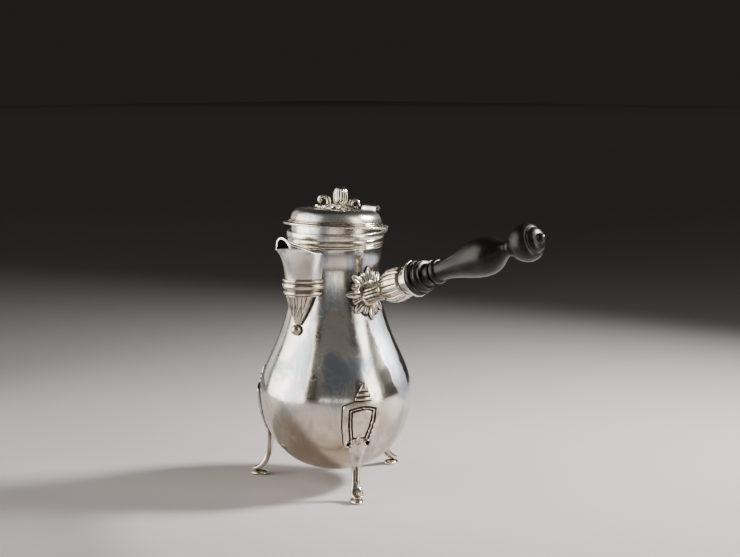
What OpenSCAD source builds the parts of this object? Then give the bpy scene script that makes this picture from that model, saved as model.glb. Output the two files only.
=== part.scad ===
// Side-handled chocolate pot in silver, on three cast legs, with a turned ebonised wood handle
// Origin: on the axis of the body, level with the table; spout to -Y, handle to +X, lid hinge to +Y

/* [Body] */
// Greatest radius of the pear-shaped body
belly_r = 61.3; // [58:0.5:66]
// Height of the widest part above the table
belly_z = 75; // [72:0.5:80]
// Height of the underside of the belly above the table
base_z = 12; // [10:0.5:16]
// Radius of the neck at its narrowest
neck_r = 35; // [33:0.5:37]
// Height of the narrowest part of the neck
neck_z = 176; // [172:0.5:180]
// Outer radius of the straight mouth above the neck
mouth_r = 36.9; // [36:0.1:38.5]
// Height of the rim of the mouth above the table
rim_z = 205; // [203:0.5:210]
// Thickness of the silver sheet
wall = 1; // [0.8:0.1:1.4]

/* [Rim mouldings] */
// How far the plain band round the rim stands out from the mouth
rim_band_out = 1.9; // [1.8:0.1:2.6]
// Height of the plain band
rim_band_h = 5; // [4:0.25:6]
// Height of the wide reed under the band
wide_reed_h = 4.3; // [3.5:0.1:4.6]
// Height of each of the two thin reeds
thin_reed_h = 1.7; // [1.3:0.1:1.8]

/* [Lid] */
// How far the lid's flange reaches beyond the mouth
flange_out = 5; // [4.1:0.1:5.1]
// Thickness of the flange
flange_t = 1.9; // [1.5:0.1:2.2]
// Step in from the mouth to the foot of the lid's dome
dome_in = 0.3; // [0.1:0.1:0.9]
// Step in from the mouth to the edge of the lid's flat top
crown_in = 9.4; // [8:0.2:11]
// Rise of the flat top above the rim of the pot
crown_h = 13.6; // [12:0.1:15]
// Depth of the bezel that sits in the mouth
bezel_h = 7.2; // [5:0.1:8]
// Clearance between the bezel and the mouth, on the radius
bezel_gap = 0.7; // [0.6:0.1:1.2]
// Clearance under the flange when the lid is shut
lid_gap = 0.3; // [0.2:0.1:0.6]
// Angle at which the lid stands ajar
lid_ajar = 3.9; // [0:0.1:6]
// Radius of the stirring hole in the lid
stir_hole_r = 8; // [7:0.5:8.5]

/* [Hinge] */
// Distance of the hinge pin behind the outside of the mouth
hinge_out = 7.9; // [7.8:0.1:9]
// Radius of the hinge knuckles
knuckle_r = 2.4; // [2.2:0.1:2.5]
// Radius of the hinge pin
hinge_pin_r = 1.1; // [0.9:0.1:1.3]
// Width of the whole hinge
hinge_w = 26; // [22:1:28]
// Space between neighbouring knuckles
knuckle_gap = 0.25; // [0.2:0.05:0.4]
// Width of the thumbpiece at its curled top
thumb_top_w = 15.5; // [13:0.5:20]
// Rise of the thumbpiece above the rim of the pot
thumb_h = 17; // [16:0.2:20]

/* [Spout] */
// Reach of the pouring lip from the axis of the body
lip_reach = 64.4; // [62:0.2:68]
// Height of the lip's edge above the table
lip_z = 194.9; // [194:0.1:196]
// Rise of the hood above the lip
hood_rise = 9.1; // [7:0.1:10]
// Half the width of the spout where it meets the neck at the top
spout_top_w = 18; // [16:0.5:19]
// Half the width of the spout where it meets the neck at the reeds
spout_low_w = 14; // [12:0.5:15]
// Radius of the pearl under the spout
pearl_r = 4.5; // [3.5:0.1:5]

/* [Handle] */
// Slope of the handle above level
handle_slope = 19; // [15:0.5:23]
// Height at which the line of the handle crosses the axis of the body
handle_z = 144.5; // [141:0.5:148]
// Greatest radius of the silver socket
socket_r = 12.6; // [12:0.1:13.5]
// Distance of the socket's mouth from the axis of the body
socket_end = 90.3; // [88:0.1:93]
// Radius of the thin ring between socket and wood
ring_r = 14.25; // [13.9:0.05:15]
// Thickness of the thin ring
ring_t = 1.7; // [1.2:0.1:2.2]
// Greatest radius of the wood's swelling
grip_r = 14.5; // [13.5:0.1:15.5]
// Greatest radius of the knob at the end of the wood
knob_r = 14; // [13:0.1:15]
// Radius of the wood's spigot in the socket
spigot_r = 7.6; // [7:0.1:8]
// Radius of the pin that holds the wood
handle_pin_r = 0.9; // [0.7:0.1:1.2]
// Radius of the leafy rosette on the neck
rosette_r = 21; // [18:0.5:22]

/* [Legs] */
// Distance of the tip of each foot from the axis of the body
foot_reach = 73; // [70:0.5:76]
// Height of the top of the leg's shield plate
shield_top = 94; // [90:0.5:97]
// Height of the bottom of the shield plate
shield_foot = 42; // [41:0.5:44]
// Half the width of the shield at its shoulders
shield_w = 14.6; // [13:0.1:16]
// Thickness of the shield's raised border
border_t = 2.6; // [2.2:0.1:3.2]
// Lean of the front leg to the side, in degrees, as it was soldered on
front_leg_lean = 5; // [0:1:7]

/* [Finial] */
// Radius of the leafy terrace
terrace_r = 17.5; // [16:0.5:18]
// Height of the fruit's tip above the rim of the pot
fruit_top = 32.1; // [30:0.1:34]
// Radius of the fruit
fruit_r = 6.3; // [5.5:0.1:7]
// Distance of the swivel rivet from the centre of the lid
rivet_x = 13.5; // [13:0.5:15]
// Radius of the swivel rivet
rivet_r = 1.4; // [1.2:0.1:1.6]

/* [Hidden] */
$fn = 96;
silver = "#c9c6be";
ebony = "#1d1917";
seat_gap = 0.2;       // soldered pieces lie this far off a curved surface
run_gap = 0.05;       // radial clearance of a turning pin
fit_gap = 0.03;       // radial clearance of a driven pin
curve_n = 22;         // steps along a curve of the body
handle_az = 0;
spout_az = -90;
leg_az = [-30, -150, 90];
lean_z = 20;          // height about which the front leg leans
function lean_at(lean, z) = (z - lean_z) * tan(lean);
mouth_in_r = mouth_r - wall;
rim_band_r = mouth_r + rim_band_out;
flange_r = mouth_r + flange_out;
dome_r = mouth_r - dome_in;
crown_r = mouth_r - crown_in;
hinge_y = mouth_r + hinge_out;
band_z = rim_z - rim_band_h;
wide_reed_z = band_z - wide_reed_h;
reeds_z = wide_reed_z - 2 * thin_reed_h;
under_z = rim_z + lid_gap;
flange_z = under_z + flange_t;
crown_z = rim_z + crown_h;
hinge_z = rim_z - 1.6;
bezel_r = mouth_in_r - bezel_gap;
plate_z = crown_z + seat_gap;
plate_t = 1.3;
leaf_z = plate_z + plate_t;

// Cubic curve from a to d, pulled towards b and c
function curve(a, b, c, d, n) =
    [for (i = [0:n]) let (t = i / n, s = 1 - t) s*s*s*a + 3*s*s*t*b + 3*s*t*t*c + t*t*t*d];
// Half-round bead standing out by rise from radius r0, between heights z0 and z1
function bead(r0, rise, z0, z1, n = 8) =
    [for (i = [0:n]) [r0 + rise * sin(180 * i / n), (z0 + z1) / 2 - (z1 - z0) / 2 * cos(180 * i / n)]];
function mix(a, b, t) = a + (b - a) * t;
function clamp01(x) = max(0, min(1, x));
function smooth(x) = let (t = clamp01(x)) t * t * (3 - 2 * t);
function flat_list(grid) = [for (row = grid) each row];
// Outline moved sideways by h, to the right of its direction
function beside(path, h) = [for (i = [0:len(path) - 1])
    let (a = path[max(0, i - 1)], b = path[min(len(path) - 1, i + 1)], t = (b - a) / norm(b - a))
    i == 0 ? [path[0][0], path[0][1] - h] : path[i] + h * [t[1], -t[0]]];
function reversed(path) = [for (i = [len(path) - 1:-1:0]) path[i]];

// Outer profile of the body, from the middle of its underside to the rim
belly_low = curve([0, base_z], [0.946 * belly_r, base_z], [belly_r, belly_z - 10.3], [belly_r, belly_z], curve_n);
belly_high = curve([belly_r, belly_z], [belly_r, belly_z + 26.4], [neck_r, neck_z - 55.5], [neck_r, neck_z], curve_n);
neck_high = curve([neck_r, neck_z], [neck_r, neck_z + 6], [mouth_r, reeds_z - 8], [mouth_r, reeds_z], 6);
skin = concat(belly_low, [for (i = [1:curve_n]) belly_high[i]], [for (i = [1:6]) neck_high[i]], [[mouth_r, rim_z]]);
skin_table = [for (p = skin) [p[1], p[0]]];
function skin_r(z) = lookup(z, skin_table);
// Outward normal of the body at height z, as [radial, upward]
function skin_n(z) = let (d = (skin_r(z + 1.5) - skin_r(z - 1.5)) / 3) [1, -d] / norm([1, d]);
// Point standing h off the body, u along its girth from azimuth az, at height z
function on_skin(az, u, z, h) = let (n = skin_n(z), a = az + u / skin_r(z) * 180 / PI, r = skin_r(z) + h * n[0])
    [r * cos(a), r * sin(a), z + h * n[1]];

// Closed slab between an outer and an inner grid of points; columns run to the right seen from outside
module slab(up, low, wrap = false) {
    rows = len(up);
    cols = len(up[0]);
    n = rows * cols;
    last = wrap ? cols - 1 : cols - 2;
    function id(i, j) = i * cols + (j % cols);
    function low_id(i, j) = n + id(i, j);
    polyhedron(concat(flat_list(up), flat_list(low)), concat(
        [for (i = [0:rows - 2], j = [0:last]) each [
            [id(i, j), id(i + 1, j), id(i + 1, j + 1)], [id(i, j), id(i + 1, j + 1), id(i, j + 1)],
            [low_id(i, j), low_id(i + 1, j + 1), low_id(i + 1, j)],
            [low_id(i, j), low_id(i, j + 1), low_id(i + 1, j + 1)]]],
        [for (j = [0:last]) each [
            [id(0, j), id(0, j + 1), low_id(0, j + 1)], [id(0, j), low_id(0, j + 1), low_id(0, j)],
            [id(rows - 1, j + 1), id(rows - 1, j), low_id(rows - 1, j)],
            [id(rows - 1, j + 1), low_id(rows - 1, j), low_id(rows - 1, j + 1)]]],
        wrap ? [] : [for (i = [0:rows - 2]) each [
            [id(i + 1, 0), id(i, 0), low_id(i, 0)], [id(i + 1, 0), low_id(i, 0), low_id(i + 1, 0)],
            [id(i, cols - 1), id(i + 1, cols - 1), low_id(i + 1, cols - 1)],
            [id(i, cols - 1), low_id(i + 1, cols - 1), low_id(i, cols - 1)]]]), convexity = 6);
}

// Closed skin over rings of points, each ring turning to the left about the way the rings go
module loft(rings) {
    n = len(rings);
    m = len(rings[0]);
    ones = [for (j = [1:m]) 1];
    polyhedron(concat(flat_list(rings), [ones * rings[0] / m, ones * rings[n - 1] / m]), concat(
        [for (i = [0:n - 2], j = [0:m - 1]) let (k = (j + 1) % m) each [
            [i*m + j, (i + 1)*m + j, (i + 1)*m + k], [i*m + j, (i + 1)*m + k, i*m + k]]],
        [for (j = [0:m - 1]) let (k = (j + 1) % m) each [
            [j, k, n*m], [(n - 1)*m + k, (n - 1)*m + j, n*m + 1]]]), convexity = 6);
}

// Everything inside the outer surface of the body between two heights, grown by gap
module skin_solid(z0, z1, gap) {
    steps = ceil((z1 - z0) / 4);
    side = [for (i = [0:steps]) let (z = mix(z0, z1, i / steps)) [skin_r(z) + gap, z]];
    rotate_extrude() polygon(concat([[0, z0]], side, [[0, z1]]));
}

module on_lid() {
    translate([0, hinge_y, hinge_z]) rotate([-lid_ajar, 0, 0]) translate([0, -hinge_y, -hinge_z]) children();
}

module on_handle() {
    translate([0, 0, handle_z]) rotate([0, 90 - handle_slope, 0]) children();
}

// Raised pear-shaped body with its pouring hole under the spout
pour_hole_r = 8;
pour_hole_z = [168, 181];
module body_shell() {
    color(silver) difference() {
        rotate_extrude() polygon(concat(skin, reversed(beside(skin, -wall))));
        for (z = pour_hole_z) translate([0, -neck_r / 2, z]) rotate([90, 0, 0]) cylinder(r = pour_hole_r, h = neck_r);
        translate([-pour_hole_r, -1.5 * neck_r, pour_hole_z[0]])
            cube([2 * pour_hole_r, neck_r, pour_hole_z[1] - pour_hole_z[0]]);
    }
}

// Plain strip round the outside of the rim
module rim_band() {
    color(silver) rotate_extrude() polygon(concat(
        [[mouth_r, band_z]], [[rim_band_r - 0.3, band_z], [rim_band_r, band_z + 0.3]],
        [[rim_band_r, rim_z - 0.5], [rim_band_r - 0.5, rim_z]], [[mouth_r, rim_z]]));
}

// One wide and two thin reeds under the band
module neck_moulding() {
    color(silver) rotate_extrude() polygon(concat(
        [[mouth_r, reeds_z]],
        bead(mouth_r + 0.2, 0.7, reeds_z, reeds_z + thin_reed_h, 6),
        bead(mouth_r + 0.3, 0.8, reeds_z + thin_reed_h, wide_reed_z, 6),
        bead(mouth_r + 0.4, 1.1, wide_reed_z, band_z, 8),
        [[mouth_r, band_z]]));
}

// Spout: outline of the level section at height z, as half-width at the neck, reach and squareness
spout_foot = 156.5;
spout_n = 18;
spout_back = 31;      // the sections end inside the neck, where they are trimmed away
spout_front = curve([49.2, spout_foot], [50.4, 176], [53.5, 183.5], [lip_reach - 2.4, 192.8], 10);
spout_rows = concat(spout_front, [[lip_reach - 0.4, lip_z - 1], [lip_reach, lip_z - 0.3]]);
function spout_width(z) = mix(spout_low_w, spout_top_w, clamp01((z - spout_foot) / (190 - spout_foot)));
function spout_power(z) = mix(2, 1.4, smooth((z - 168) / (lip_z - 168)));
// Level section of the spout, shrunk by inset, drawn from the right side round the front to the left
function spout_section(z, reach, inset) = let (w = spout_width(z) - inset, f = reach - inset, p = 2 / spout_power(z))
    concat([for (i = [0:spout_n]) let (a = 180 * i / spout_n)
        [-w * sign(cos(a)) * pow(abs(cos(a)), p), -(spout_back + (f - spout_back) * pow(sin(a), p)), z]]);
// Hood over the spout: stations of reach, half-width, height of its edges and height of its ridge
hood_stations = [
    [30, spout_top_w, 189.5, 194.6], [36, 17.6, 189.8, 194.6], [40, 16.4, 190.8, 195.2], [44, 14.9, 193, 196.6],
    [48, 13, 194.4, 198.2], [52, 11, 195, 200.2], [55, 9.4, 195.2, lip_z + hood_rise - 2.2], [57.6, 8.5, 195.3, lip_z + hood_rise]
];
hood_lean = 1.6;      // the ridge of the hood's edge stands this far beyond its corners
function hood_ring(s, inset, drop) = let (lean = hood_lean * clamp01((s[0] - 44) / 13)) concat(
    [for (i = [0:10]) let (a = 18 * i, k = sin(a))
        [(s[1] - inset) * cos(a), -(s[0] + lean * k), s[2] + (s[3] - s[2] - inset) * k]],
    [[-(s[1] - inset), -s[0], s[2] - drop], [s[1] - inset, -s[0], s[2] - drop]]);
hood_mouth = hood_stations[len(hood_stations) - 1];
module spout() {
    color(silver) difference() {
        union() {
            loft(concat([for (r = spout_rows) spout_section(r[1], r[0], 0)], [spout_section(lip_z, lip_reach, 0)]));
            loft([for (s = hood_stations) hood_ring(s, 0, 6)]);
        }
        loft(concat([for (r = spout_rows) if (r[1] > spout_foot + 4) spout_section(r[1], r[0], wall)],
            [spout_section(lip_z + 2, lip_reach + 0.3, wall)]));
        loft(concat([for (s = hood_stations) hood_ring(s, wall, 4)],
            [for (y = [63, 70]) hood_ring([y, hood_mouth[1], hood_mouth[2], hood_mouth[3]], wall, 0.2)]));
        skin_solid(spout_foot - 6.5, rim_z - 5, seat_gap);
        translate([0, 0, reeds_z - 0.3]) cylinder(r = rim_band_r + 0.2, h = 20);
    }
}

// Belt of three reeds round the narrow part of the spout: height and how far each line stands out from the spout
reed_rows = [
    [157.2, 0.6], [157.5, 1.8], [158.6, 2.7], [159.9, 2.7], [160.8, 1.6], [161.2, 1.6], [161.9, 2.5], [163.2, 3], [165, 3],
    [166.2, 2.3], [166.7, 1.5], [167.1, 1.5], [167.9, 2.1], [169, 2.1], [169.9, 1.3], [170.1, 0.5]
];
reach_table = [for (p = spout_rows) [p[1], p[0]]];
function belt_section(z, out) = let (w = spout_width(z) + out, f = lookup(z, reach_table) + out)
    [for (i = [0:spout_n]) let (a = 180 * i / spout_n) [-w * cos(a), -(spout_back + (f - spout_back) * sin(a)), z]];
module spout_reeds() {
    inner = [for (r = reed_rows) belt_section(r[0], 0.25)];
    color(silver) difference() {
        slab([for (r = reed_rows) belt_section(r[0], r[1])], inner);
        skin_solid(150, 176, seat_gap);
    }
}

// Tapering drop of pointed leaves under the reeds
drop_top = spout_foot;
drop_foot = 133.5;
drop_cols = 20;
function drop_w(t) = mix(11.6, 3.2, pow(t, 1.25));
function drop_out(t) = mix(11.6, 3.2, pow(t, 1.1));
// Point of the drop at share t of the way down and s across it, standing h off the neck, with a level top
function drop_at(s, t, h) = let (z = mix(drop_top - 0.15, drop_foot, t))
    on_skin(spout_az, s * drop_w(t), z, h) - [0, 0, (1 - t) * h * skin_n(z)[1]];
module spout_leaves() {
    rows = 9;
    leaf_n = 5;
    color(silver) slab(
        [for (i = [rows:-1:0]) let (t = i / rows) [for (j = [0:drop_cols])
            let (s = 2 * j / drop_cols - 1, rib = abs(sin(leaf_n * 90 * (s + 1))))
            drop_at(s, t, seat_gap + 0.8 + drop_out(t) * sqrt(max(0, 1 - s * s)) + 0.9 * rib * (1 - t))]],
        [for (i = [rows:-1:0]) [for (j = [0:drop_cols]) drop_at(2 * j / drop_cols - 1, i / rows, seat_gap)]]);
}

module spout_pearl() {
    z = drop_foot - pearl_r + 0.2;
    n = skin_n(z);
    color(silver) translate(on_skin(spout_az, 0, z, seat_gap + 0.1)) rotate([0, 0, spout_az])
        rotate([0, 90 - atan2(n[1], n[0]), 0]) intersection() {
            translate([0, 0, 1]) sphere(r = pearl_r);
            cylinder(r = pearl_r + 1, h = pearl_r + 2);
        }
}

// Cast leg: shield plate over the belly, scrolls at its foot, and a stem that sweeps out to a slipper toe
// Half-width of the shield at height z, from the pointed top through the shoulders to the scrolls
shield_edge = [
    [0, 0.42], [0.05, 0.54], [0.12, 0.62], [0.3, 0.76], [0.5, 0.88], [0.62, 0.97], [0.66, 1], [0.69, 0.93],
    [0.72, 0.62], [0.76, 0.47], [0.8, 0.44], [0.86, 0.4], [0.88, 0.27], [0.93, 0.23], [0.95, 0.12], [1, 0.05]
];
shield_rows = [0, 0.06, 0.12, 0.14, 0.175, 0.3, 0.45, 0.575, 0.6, 0.62, 0.66, 0.7, 0.72, 0.76, 0.8, 0.86, 0.88, 0.95, 1];
shield_cols = [-1, -0.94, -0.72, -0.67, -0.61, -0.55, -0.28, 0, 0.28, 0.55, 0.61, 0.67, 0.72, 0.94, 1];
// Height of the relief over the belly, for a place across (s) and up (t) the shield
function relief(s, t) = let (c = abs(s))
    t > 0.7 ? (t < 0.77 ? 1.7 : t < 0.87 ? 2.6 : t < 0.94 ? 2.9 : 2.3) * (c > 0.9 ? 0.75 : 1)
    : t > 0.61 || t < 0.13 || c >= 0.7 ? (c > 0.95 ? 1.7 : border_t)
    : t > 0.585 || t < 0.162 || (c > 0.56 && c < 0.63) ? (c > 0.66 ? 0.9 : 1.9)
    : 1.15;
module shield(az, lean) {
    zs = [for (t = shield_rows) mix(shield_foot, shield_top, t)];
    w = [for (t = shield_rows) shield_w * lookup(t, shield_edge)];
    rows = [0:len(shield_rows) - 1];
    function place(i, s, h) = on_skin(az, s * w[i] + lean_at(lean, zs[i]), zs[i], seat_gap + h);
    slab([for (i = rows) [for (s = shield_cols) place(i, s, relief(s, shield_rows[i]))]],
        [for (i = rows) [for (s = shield_cols) place(i, s, 0)]]);
}

// Stem of the leg: stations of distance from the axis, height, half-width and half-thickness
stem_stations = [
    [56.6, 47, 5.6, 1.1], [56, 42, 7.2, 1.5], [55.6, 37, 6.2, 1.8], [55.8, 31, 4.4, 2], [56.4, 25, 3.4, 2.1], [57.6, 19, 3.1, 2.2],
    [foot_reach - 13.4, 13.6, 3.4, 2.3], [foot_reach - 10.8, 9.2, 4.2, 2.3], [foot_reach - 7.6, 6.4, 4.9, 2.1],
    [foot_reach - 4.4, 5, 4.7, 1.8], [foot_reach - 2, 4.6, 3.4, 1.4], [foot_reach - 0.9, 4.7, 1.6, 0.8]
];
stem_n = 12;
module stem(az, lean) {
    n = len(stem_stations);
    rings = [for (i = [0:n - 1]) let (s = stem_stations[i],
        a = stem_stations[max(0, i - 1)], b = stem_stations[min(n - 1, i + 1)],
        t = [b[0] - a[0], b[1] - a[1]] / norm([b[0] - a[0], b[1] - a[1]]))
        [for (j = [0:stem_n - 1]) let (q = 360 * j / stem_n, c = s[3] * cos(q), k = s[2] * sin(q))
            [s[0] - t[1] * c, lean_at(lean, s[1]) - k, s[1] + t[0] * c]]];
    rotate([0, 0, az]) loft(rings);
}

sole_r = 5.2;
module sole(az, lean) {
    rotate([0, 0, az]) translate([0, lean_at(lean, 0), 0]) intersection() {
        translate([foot_reach - 6.9, 0, 1.2]) scale([1.32, 1, 0.52]) sphere(r = sole_r, $fn = 48);
        translate([foot_reach - 20, -10, 0]) cube([20, 20, 6]);
    }
}

scroll_r = 3.3;
scroll_hole_r = 1.2;
scroll_x = 6.6;
scroll_z = 46.2;
module scroll(az, u, r, h, lift) {
    n = skin_n(scroll_z);
    translate(on_skin(az, u, scroll_z, lift)) rotate([0, 0, az + u / skin_r(scroll_z) * 180 / PI])
        rotate([0, 90 - atan2(n[1], n[0]), 0]) cylinder(r = r, h = h, $fn = 32);
}
tongue_stations = [[41.5, 1.4, 2.4], [44, 2.1, 3.4], [47, 2.3, 3.8], [49.5, 1.5, 3.2], [51.6, 0.4, 2.2]];
module tongue(az, lean) {
    cols = [-1, -0.6, -0.15, 0, 0.15, 0.6, 1];
    slab([for (s = tongue_stations) [for (c = cols)
            on_skin(az, c * s[1] + lean_at(lean, s[0]), s[0], seat_gap + s[2] * (1 - 0.35 * c * c) - (c == 0 ? 0.4 : 0))]],
        [for (s = tongue_stations) [for (c = cols) on_skin(az, c * s[1] + lean_at(lean, s[0]), s[0], seat_gap + 0.5)]]);
}
module leg(az, lean = 0) {
    mid = lean_at(lean, scroll_z);
    color(silver) difference() {
        union() {
            shield(az, lean);
            stem(az, lean);
            sole(az, lean);
            tongue(az, lean);
            for (side = [-1, 1]) scroll(az, mid + side * scroll_x, scroll_r, 3.2, seat_gap + 0.1);
        }
        for (side = [-1, 1]) scroll(az, mid + side * scroll_x, scroll_hole_r, 6, seat_gap + 1.4);
    }
}
module leg_front() leg(leg_az[0], front_leg_lean);
module leg_left() leg(leg_az[1]);
module leg_back() leg(leg_az[2]);

// Rosette of pointed leaves round the root of the socket, laid over the neck
rosette_z = 158;
rosette_hole = 9.6;
rosette_leaves = 8;
function rosette_edge(a) = let (k = abs(cos(rosette_leaves * a / 2)), m = abs(sin(rosette_leaves * a / 2)))
    max(rosette_r * (0.62 + 0.38 * pow(k, 1.6)), rosette_r * (0.55 + 0.33 * pow(m, 3)));
function rosette_rise(s, a) = let (k = abs(cos(rosette_leaves * a)))
    mix(2.6, 1.2, s) + 0.9 * pow(k, 0.8) * sin(180 * clamp01(0.1 + 0.8 * s));
module handle_rosette() {
    cols = rosette_leaves * 8;
    rings = [0, 0.12, 0.4, 0.7, 0.88, 1];
    function place(i, j, h) = let (a = -360 * j / cols, r = mix(rosette_hole, rosette_edge(a), rings[i]))
        on_skin(handle_az, r * cos(a), rosette_z + r * sin(a), h);
    rows = [0:len(rings) - 1];
    color(silver) slab(
        [for (i = rows) [for (j = [0:cols - 1]) place(i, j, seat_gap + rosette_rise(rings[i], -360 * j / cols))]],
        [for (i = rows) [for (j = [0:cols - 1]) place(i, j, seat_gap)]], wrap = true);
}

// Cast socket: a throat that swells into a bulb dressed with two-lobed leaves, bored for the wood
socket_foot_r = 8.6;
bore_start = 60;
calyx_n = 8;
socket_profile = [[58, 9], [60, 9.7], [62, 10.7], [64, 11.5], [66, 12.1], [68, 12.5], [70, 12.6], [72, 12.55], [74, 12.4],
    [76, 12.1], [78, 11.6], [80, 11.2], [82, 10.8], [82.1, 10.3], [socket_end, 10.3]];
socket_cols = 40;
throat_r = 7.4;
shoulder_t = 82;      // the bulb ends here, on the plain band round the socket's mouth
function socket_base(t) = t < 58 ? mix(socket_foot_r, throat_r, smooth((t - 38) / 8)) + 1.6 * smooth((t - 50) / 8)
    : lookup(t, socket_profile) * socket_r / 12.6;
// Leaf relief on the bulb: pointed ends towards the neck, a cleft along the middle of each
function calyx(t, a) = let (u = abs(((a * calyx_n / 360) % 1) - 0.5) * 2, w = clamp01((t - 57) / 9))
    t < 56 || t > 81 ? 0 : (u < w ? 0.9 * smooth((w - u) * 4) * smooth((81.5 - t) / 3) - (u < 0.12 ? 0.35 : 0) : 0);
// Distance along the handle at which a line beside its axis meets the neck; angle 0 is the handle's under side
function meet(rho, a, k = 0, t = 38) = k == 5 ? t :
    let (x = rho * cos(a), y = rho * sin(a), c = cos(handle_slope), s = sin(handle_slope),
        z = handle_z + t * s - x * c, r = skin_r(z) + seat_gap, out = sqrt(r * r - y * y))
    meet(rho, a, k + 1, (out - x * s) / c);
module handle_socket() {
    ts = [44, 48, 54, 56.5, 58, 60, 62, 64, 66, 69, 72, 75, 78, 80.5, shoulder_t];
    function ring(t) = [for (j = [0:socket_cols - 1]) let (a = 360 * j / socket_cols, r = socket_base(t) + calyx(t, a))
        [r * cos(a), r * sin(a), t]];
    foot = [for (rho = [0.3, 3, 6, socket_foot_r]) [for (j = [0:socket_cols - 1]) let (a = 360 * j / socket_cols)
        [rho * cos(a), rho * sin(a), meet(rho, a)]]];
    color(silver) on_handle() difference() {
        union() {
            loft(concat(foot, [for (t = ts) ring(t)]));
            translate([0, 0, shoulder_t - 3]) cylinder(r = socket_base(84), h = socket_end - shoulder_t + 3);
        }
        translate([0, 0, bore_start]) cylinder(r = spigot_r + fit_gap, h = socket_end);
        pin_hole();
    }
}

pin_t = 86.5;
module pin_hole() {
    translate([0, 0, pin_t]) rotate([0, 90, 0]) cylinder(r = handle_pin_r + fit_gap, h = 30, $fn = 32);
}

// Thin ring between the socket and the wood
module socket_ring() {
    color(silver) on_handle() rotate_extrude() polygon(concat(
        [[spigot_r + 0.2, socket_end]], bead(ring_r - 0.6, 0.6, socket_end, socket_end + ring_t, 8),
        [[spigot_r + 0.2, socket_end + ring_t]]));
}

// Turned handle: collar, beads and coves, a long swelling and a stepped knob
module handle_grip() {
    t0 = socket_end + ring_t;
    swell = curve([7.5, t0 + 28], [8, t0 + 44], [grip_r + 0.3, t0 + 56], [grip_r, t0 + 70], 14);
    taper = curve([grip_r, t0 + 70], [grip_r - 0.2, t0 + 82], [6.6, t0 + 84], [5.4, t0 + 92], 10);
    knob = concat(curve([5.2, t0 + 97], [7.5, t0 + 97.6], [knob_r - 0.4, t0 + 102], [knob_r, t0 + 109.5], 8),
        curve([knob_r, t0 + 109.5], [knob_r, t0 + 113], [12.8, t0 + 115.6], [10.2, t0 + 116.4], 6));
    color(ebony) on_handle() difference() {
        union() {
            rotate_extrude() polygon(concat(
                [[0, t0]], [[13.1, t0], [13.7, t0 + 0.5], [13.7, t0 + 2.8], [13.2, t0 + 3.4], [11.4, t0 + 3.8], [11.2, t0 + 5.2]],
                bead(11.2, 1.2, t0 + 5.6, t0 + 9.2), [[10.8, t0 + 9.8], [10.8, t0 + 11.6]],
                bead(9.4, -1.9, t0 + 12.2, t0 + 19.4), bead(7.9, 1.6, t0 + 19.8, t0 + 25.2), swell,
                [for (i = [1:len(taper) - 1]) taper[i]], bead(5.1, 0.9, t0 + 92.6, t0 + 96.6, 6), knob,
                [[9.8, t0 + 117.2]], curve([9.4, t0 + 117.4], [9, t0 + 119.4], [7, t0 + 120.8], [3.9, t0 + 121.2], 5),
                curve([3.6, t0 + 121.6], [3.6, t0 + 123.6], [2.4, t0 + 125], [0, t0 + 125.2], 5)));
            translate([0, 0, bore_start + 1.5]) cylinder(r = spigot_r, h = t0 - bore_start);
        }
        pin_hole();
    }
}

module handle_pin() {
    color(silver) on_handle() translate([0, 0, pin_t]) rotate([0, 90, 0]) {
        cylinder(r = handle_pin_r, h = socket_base(84) + 0.2, $fn = 32);
    }
}

// Hinge: five knuckles on one pin, the outer and middle ones on a bracket behind the rim
knuckle_l = (hinge_w - 4 * knuckle_gap) / 5;
function knuckle_x(i) = -hinge_w / 2 + i * (knuckle_l + knuckle_gap);
module knuckle(i) {
    translate([knuckle_x(i), hinge_y, hinge_z]) rotate([0, 90, 0]) cylinder(r = knuckle_r, h = knuckle_l, $fn = 48);
}
module pin_bore(gap) {
    translate([-hinge_w, hinge_y, hinge_z]) rotate([0, 90, 0]) cylinder(r = hinge_pin_r + gap, h = 2 * hinge_w, $fn = 48);
}
bracket_h = 3.4;
module hinge_bracket() {
    color(silver) difference() {
        union() {
            translate([-hinge_w / 2, rim_band_r - 3.5, hinge_z - knuckle_r - 1])
                cube([hinge_w, hinge_y - rim_band_r + 3.5, bracket_h - 0.4]);
            for (i = [0, 2, 4]) knuckle(i);
        }
        pin_bore(fit_gap);
        for (i = [1, 3]) translate([knuckle_x(i) - knuckle_gap, hinge_y, hinge_z]) rotate([0, 90, 0])
            cylinder(r = knuckle_r + 0.35, h = knuckle_l + 2 * knuckle_gap, $fn = 48);
        translate([0, 0, band_z - 10]) cylinder(r = rim_band_r + seat_gap, h = 30);
    }
}
module hinge_pin() {
    color(silver) translate([-hinge_w / 2 - 0.6, hinge_y, hinge_z]) rotate([0, 90, 0])
        cylinder(r = hinge_pin_r, h = hinge_w + 1.2, $fn = 48);
}

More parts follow.
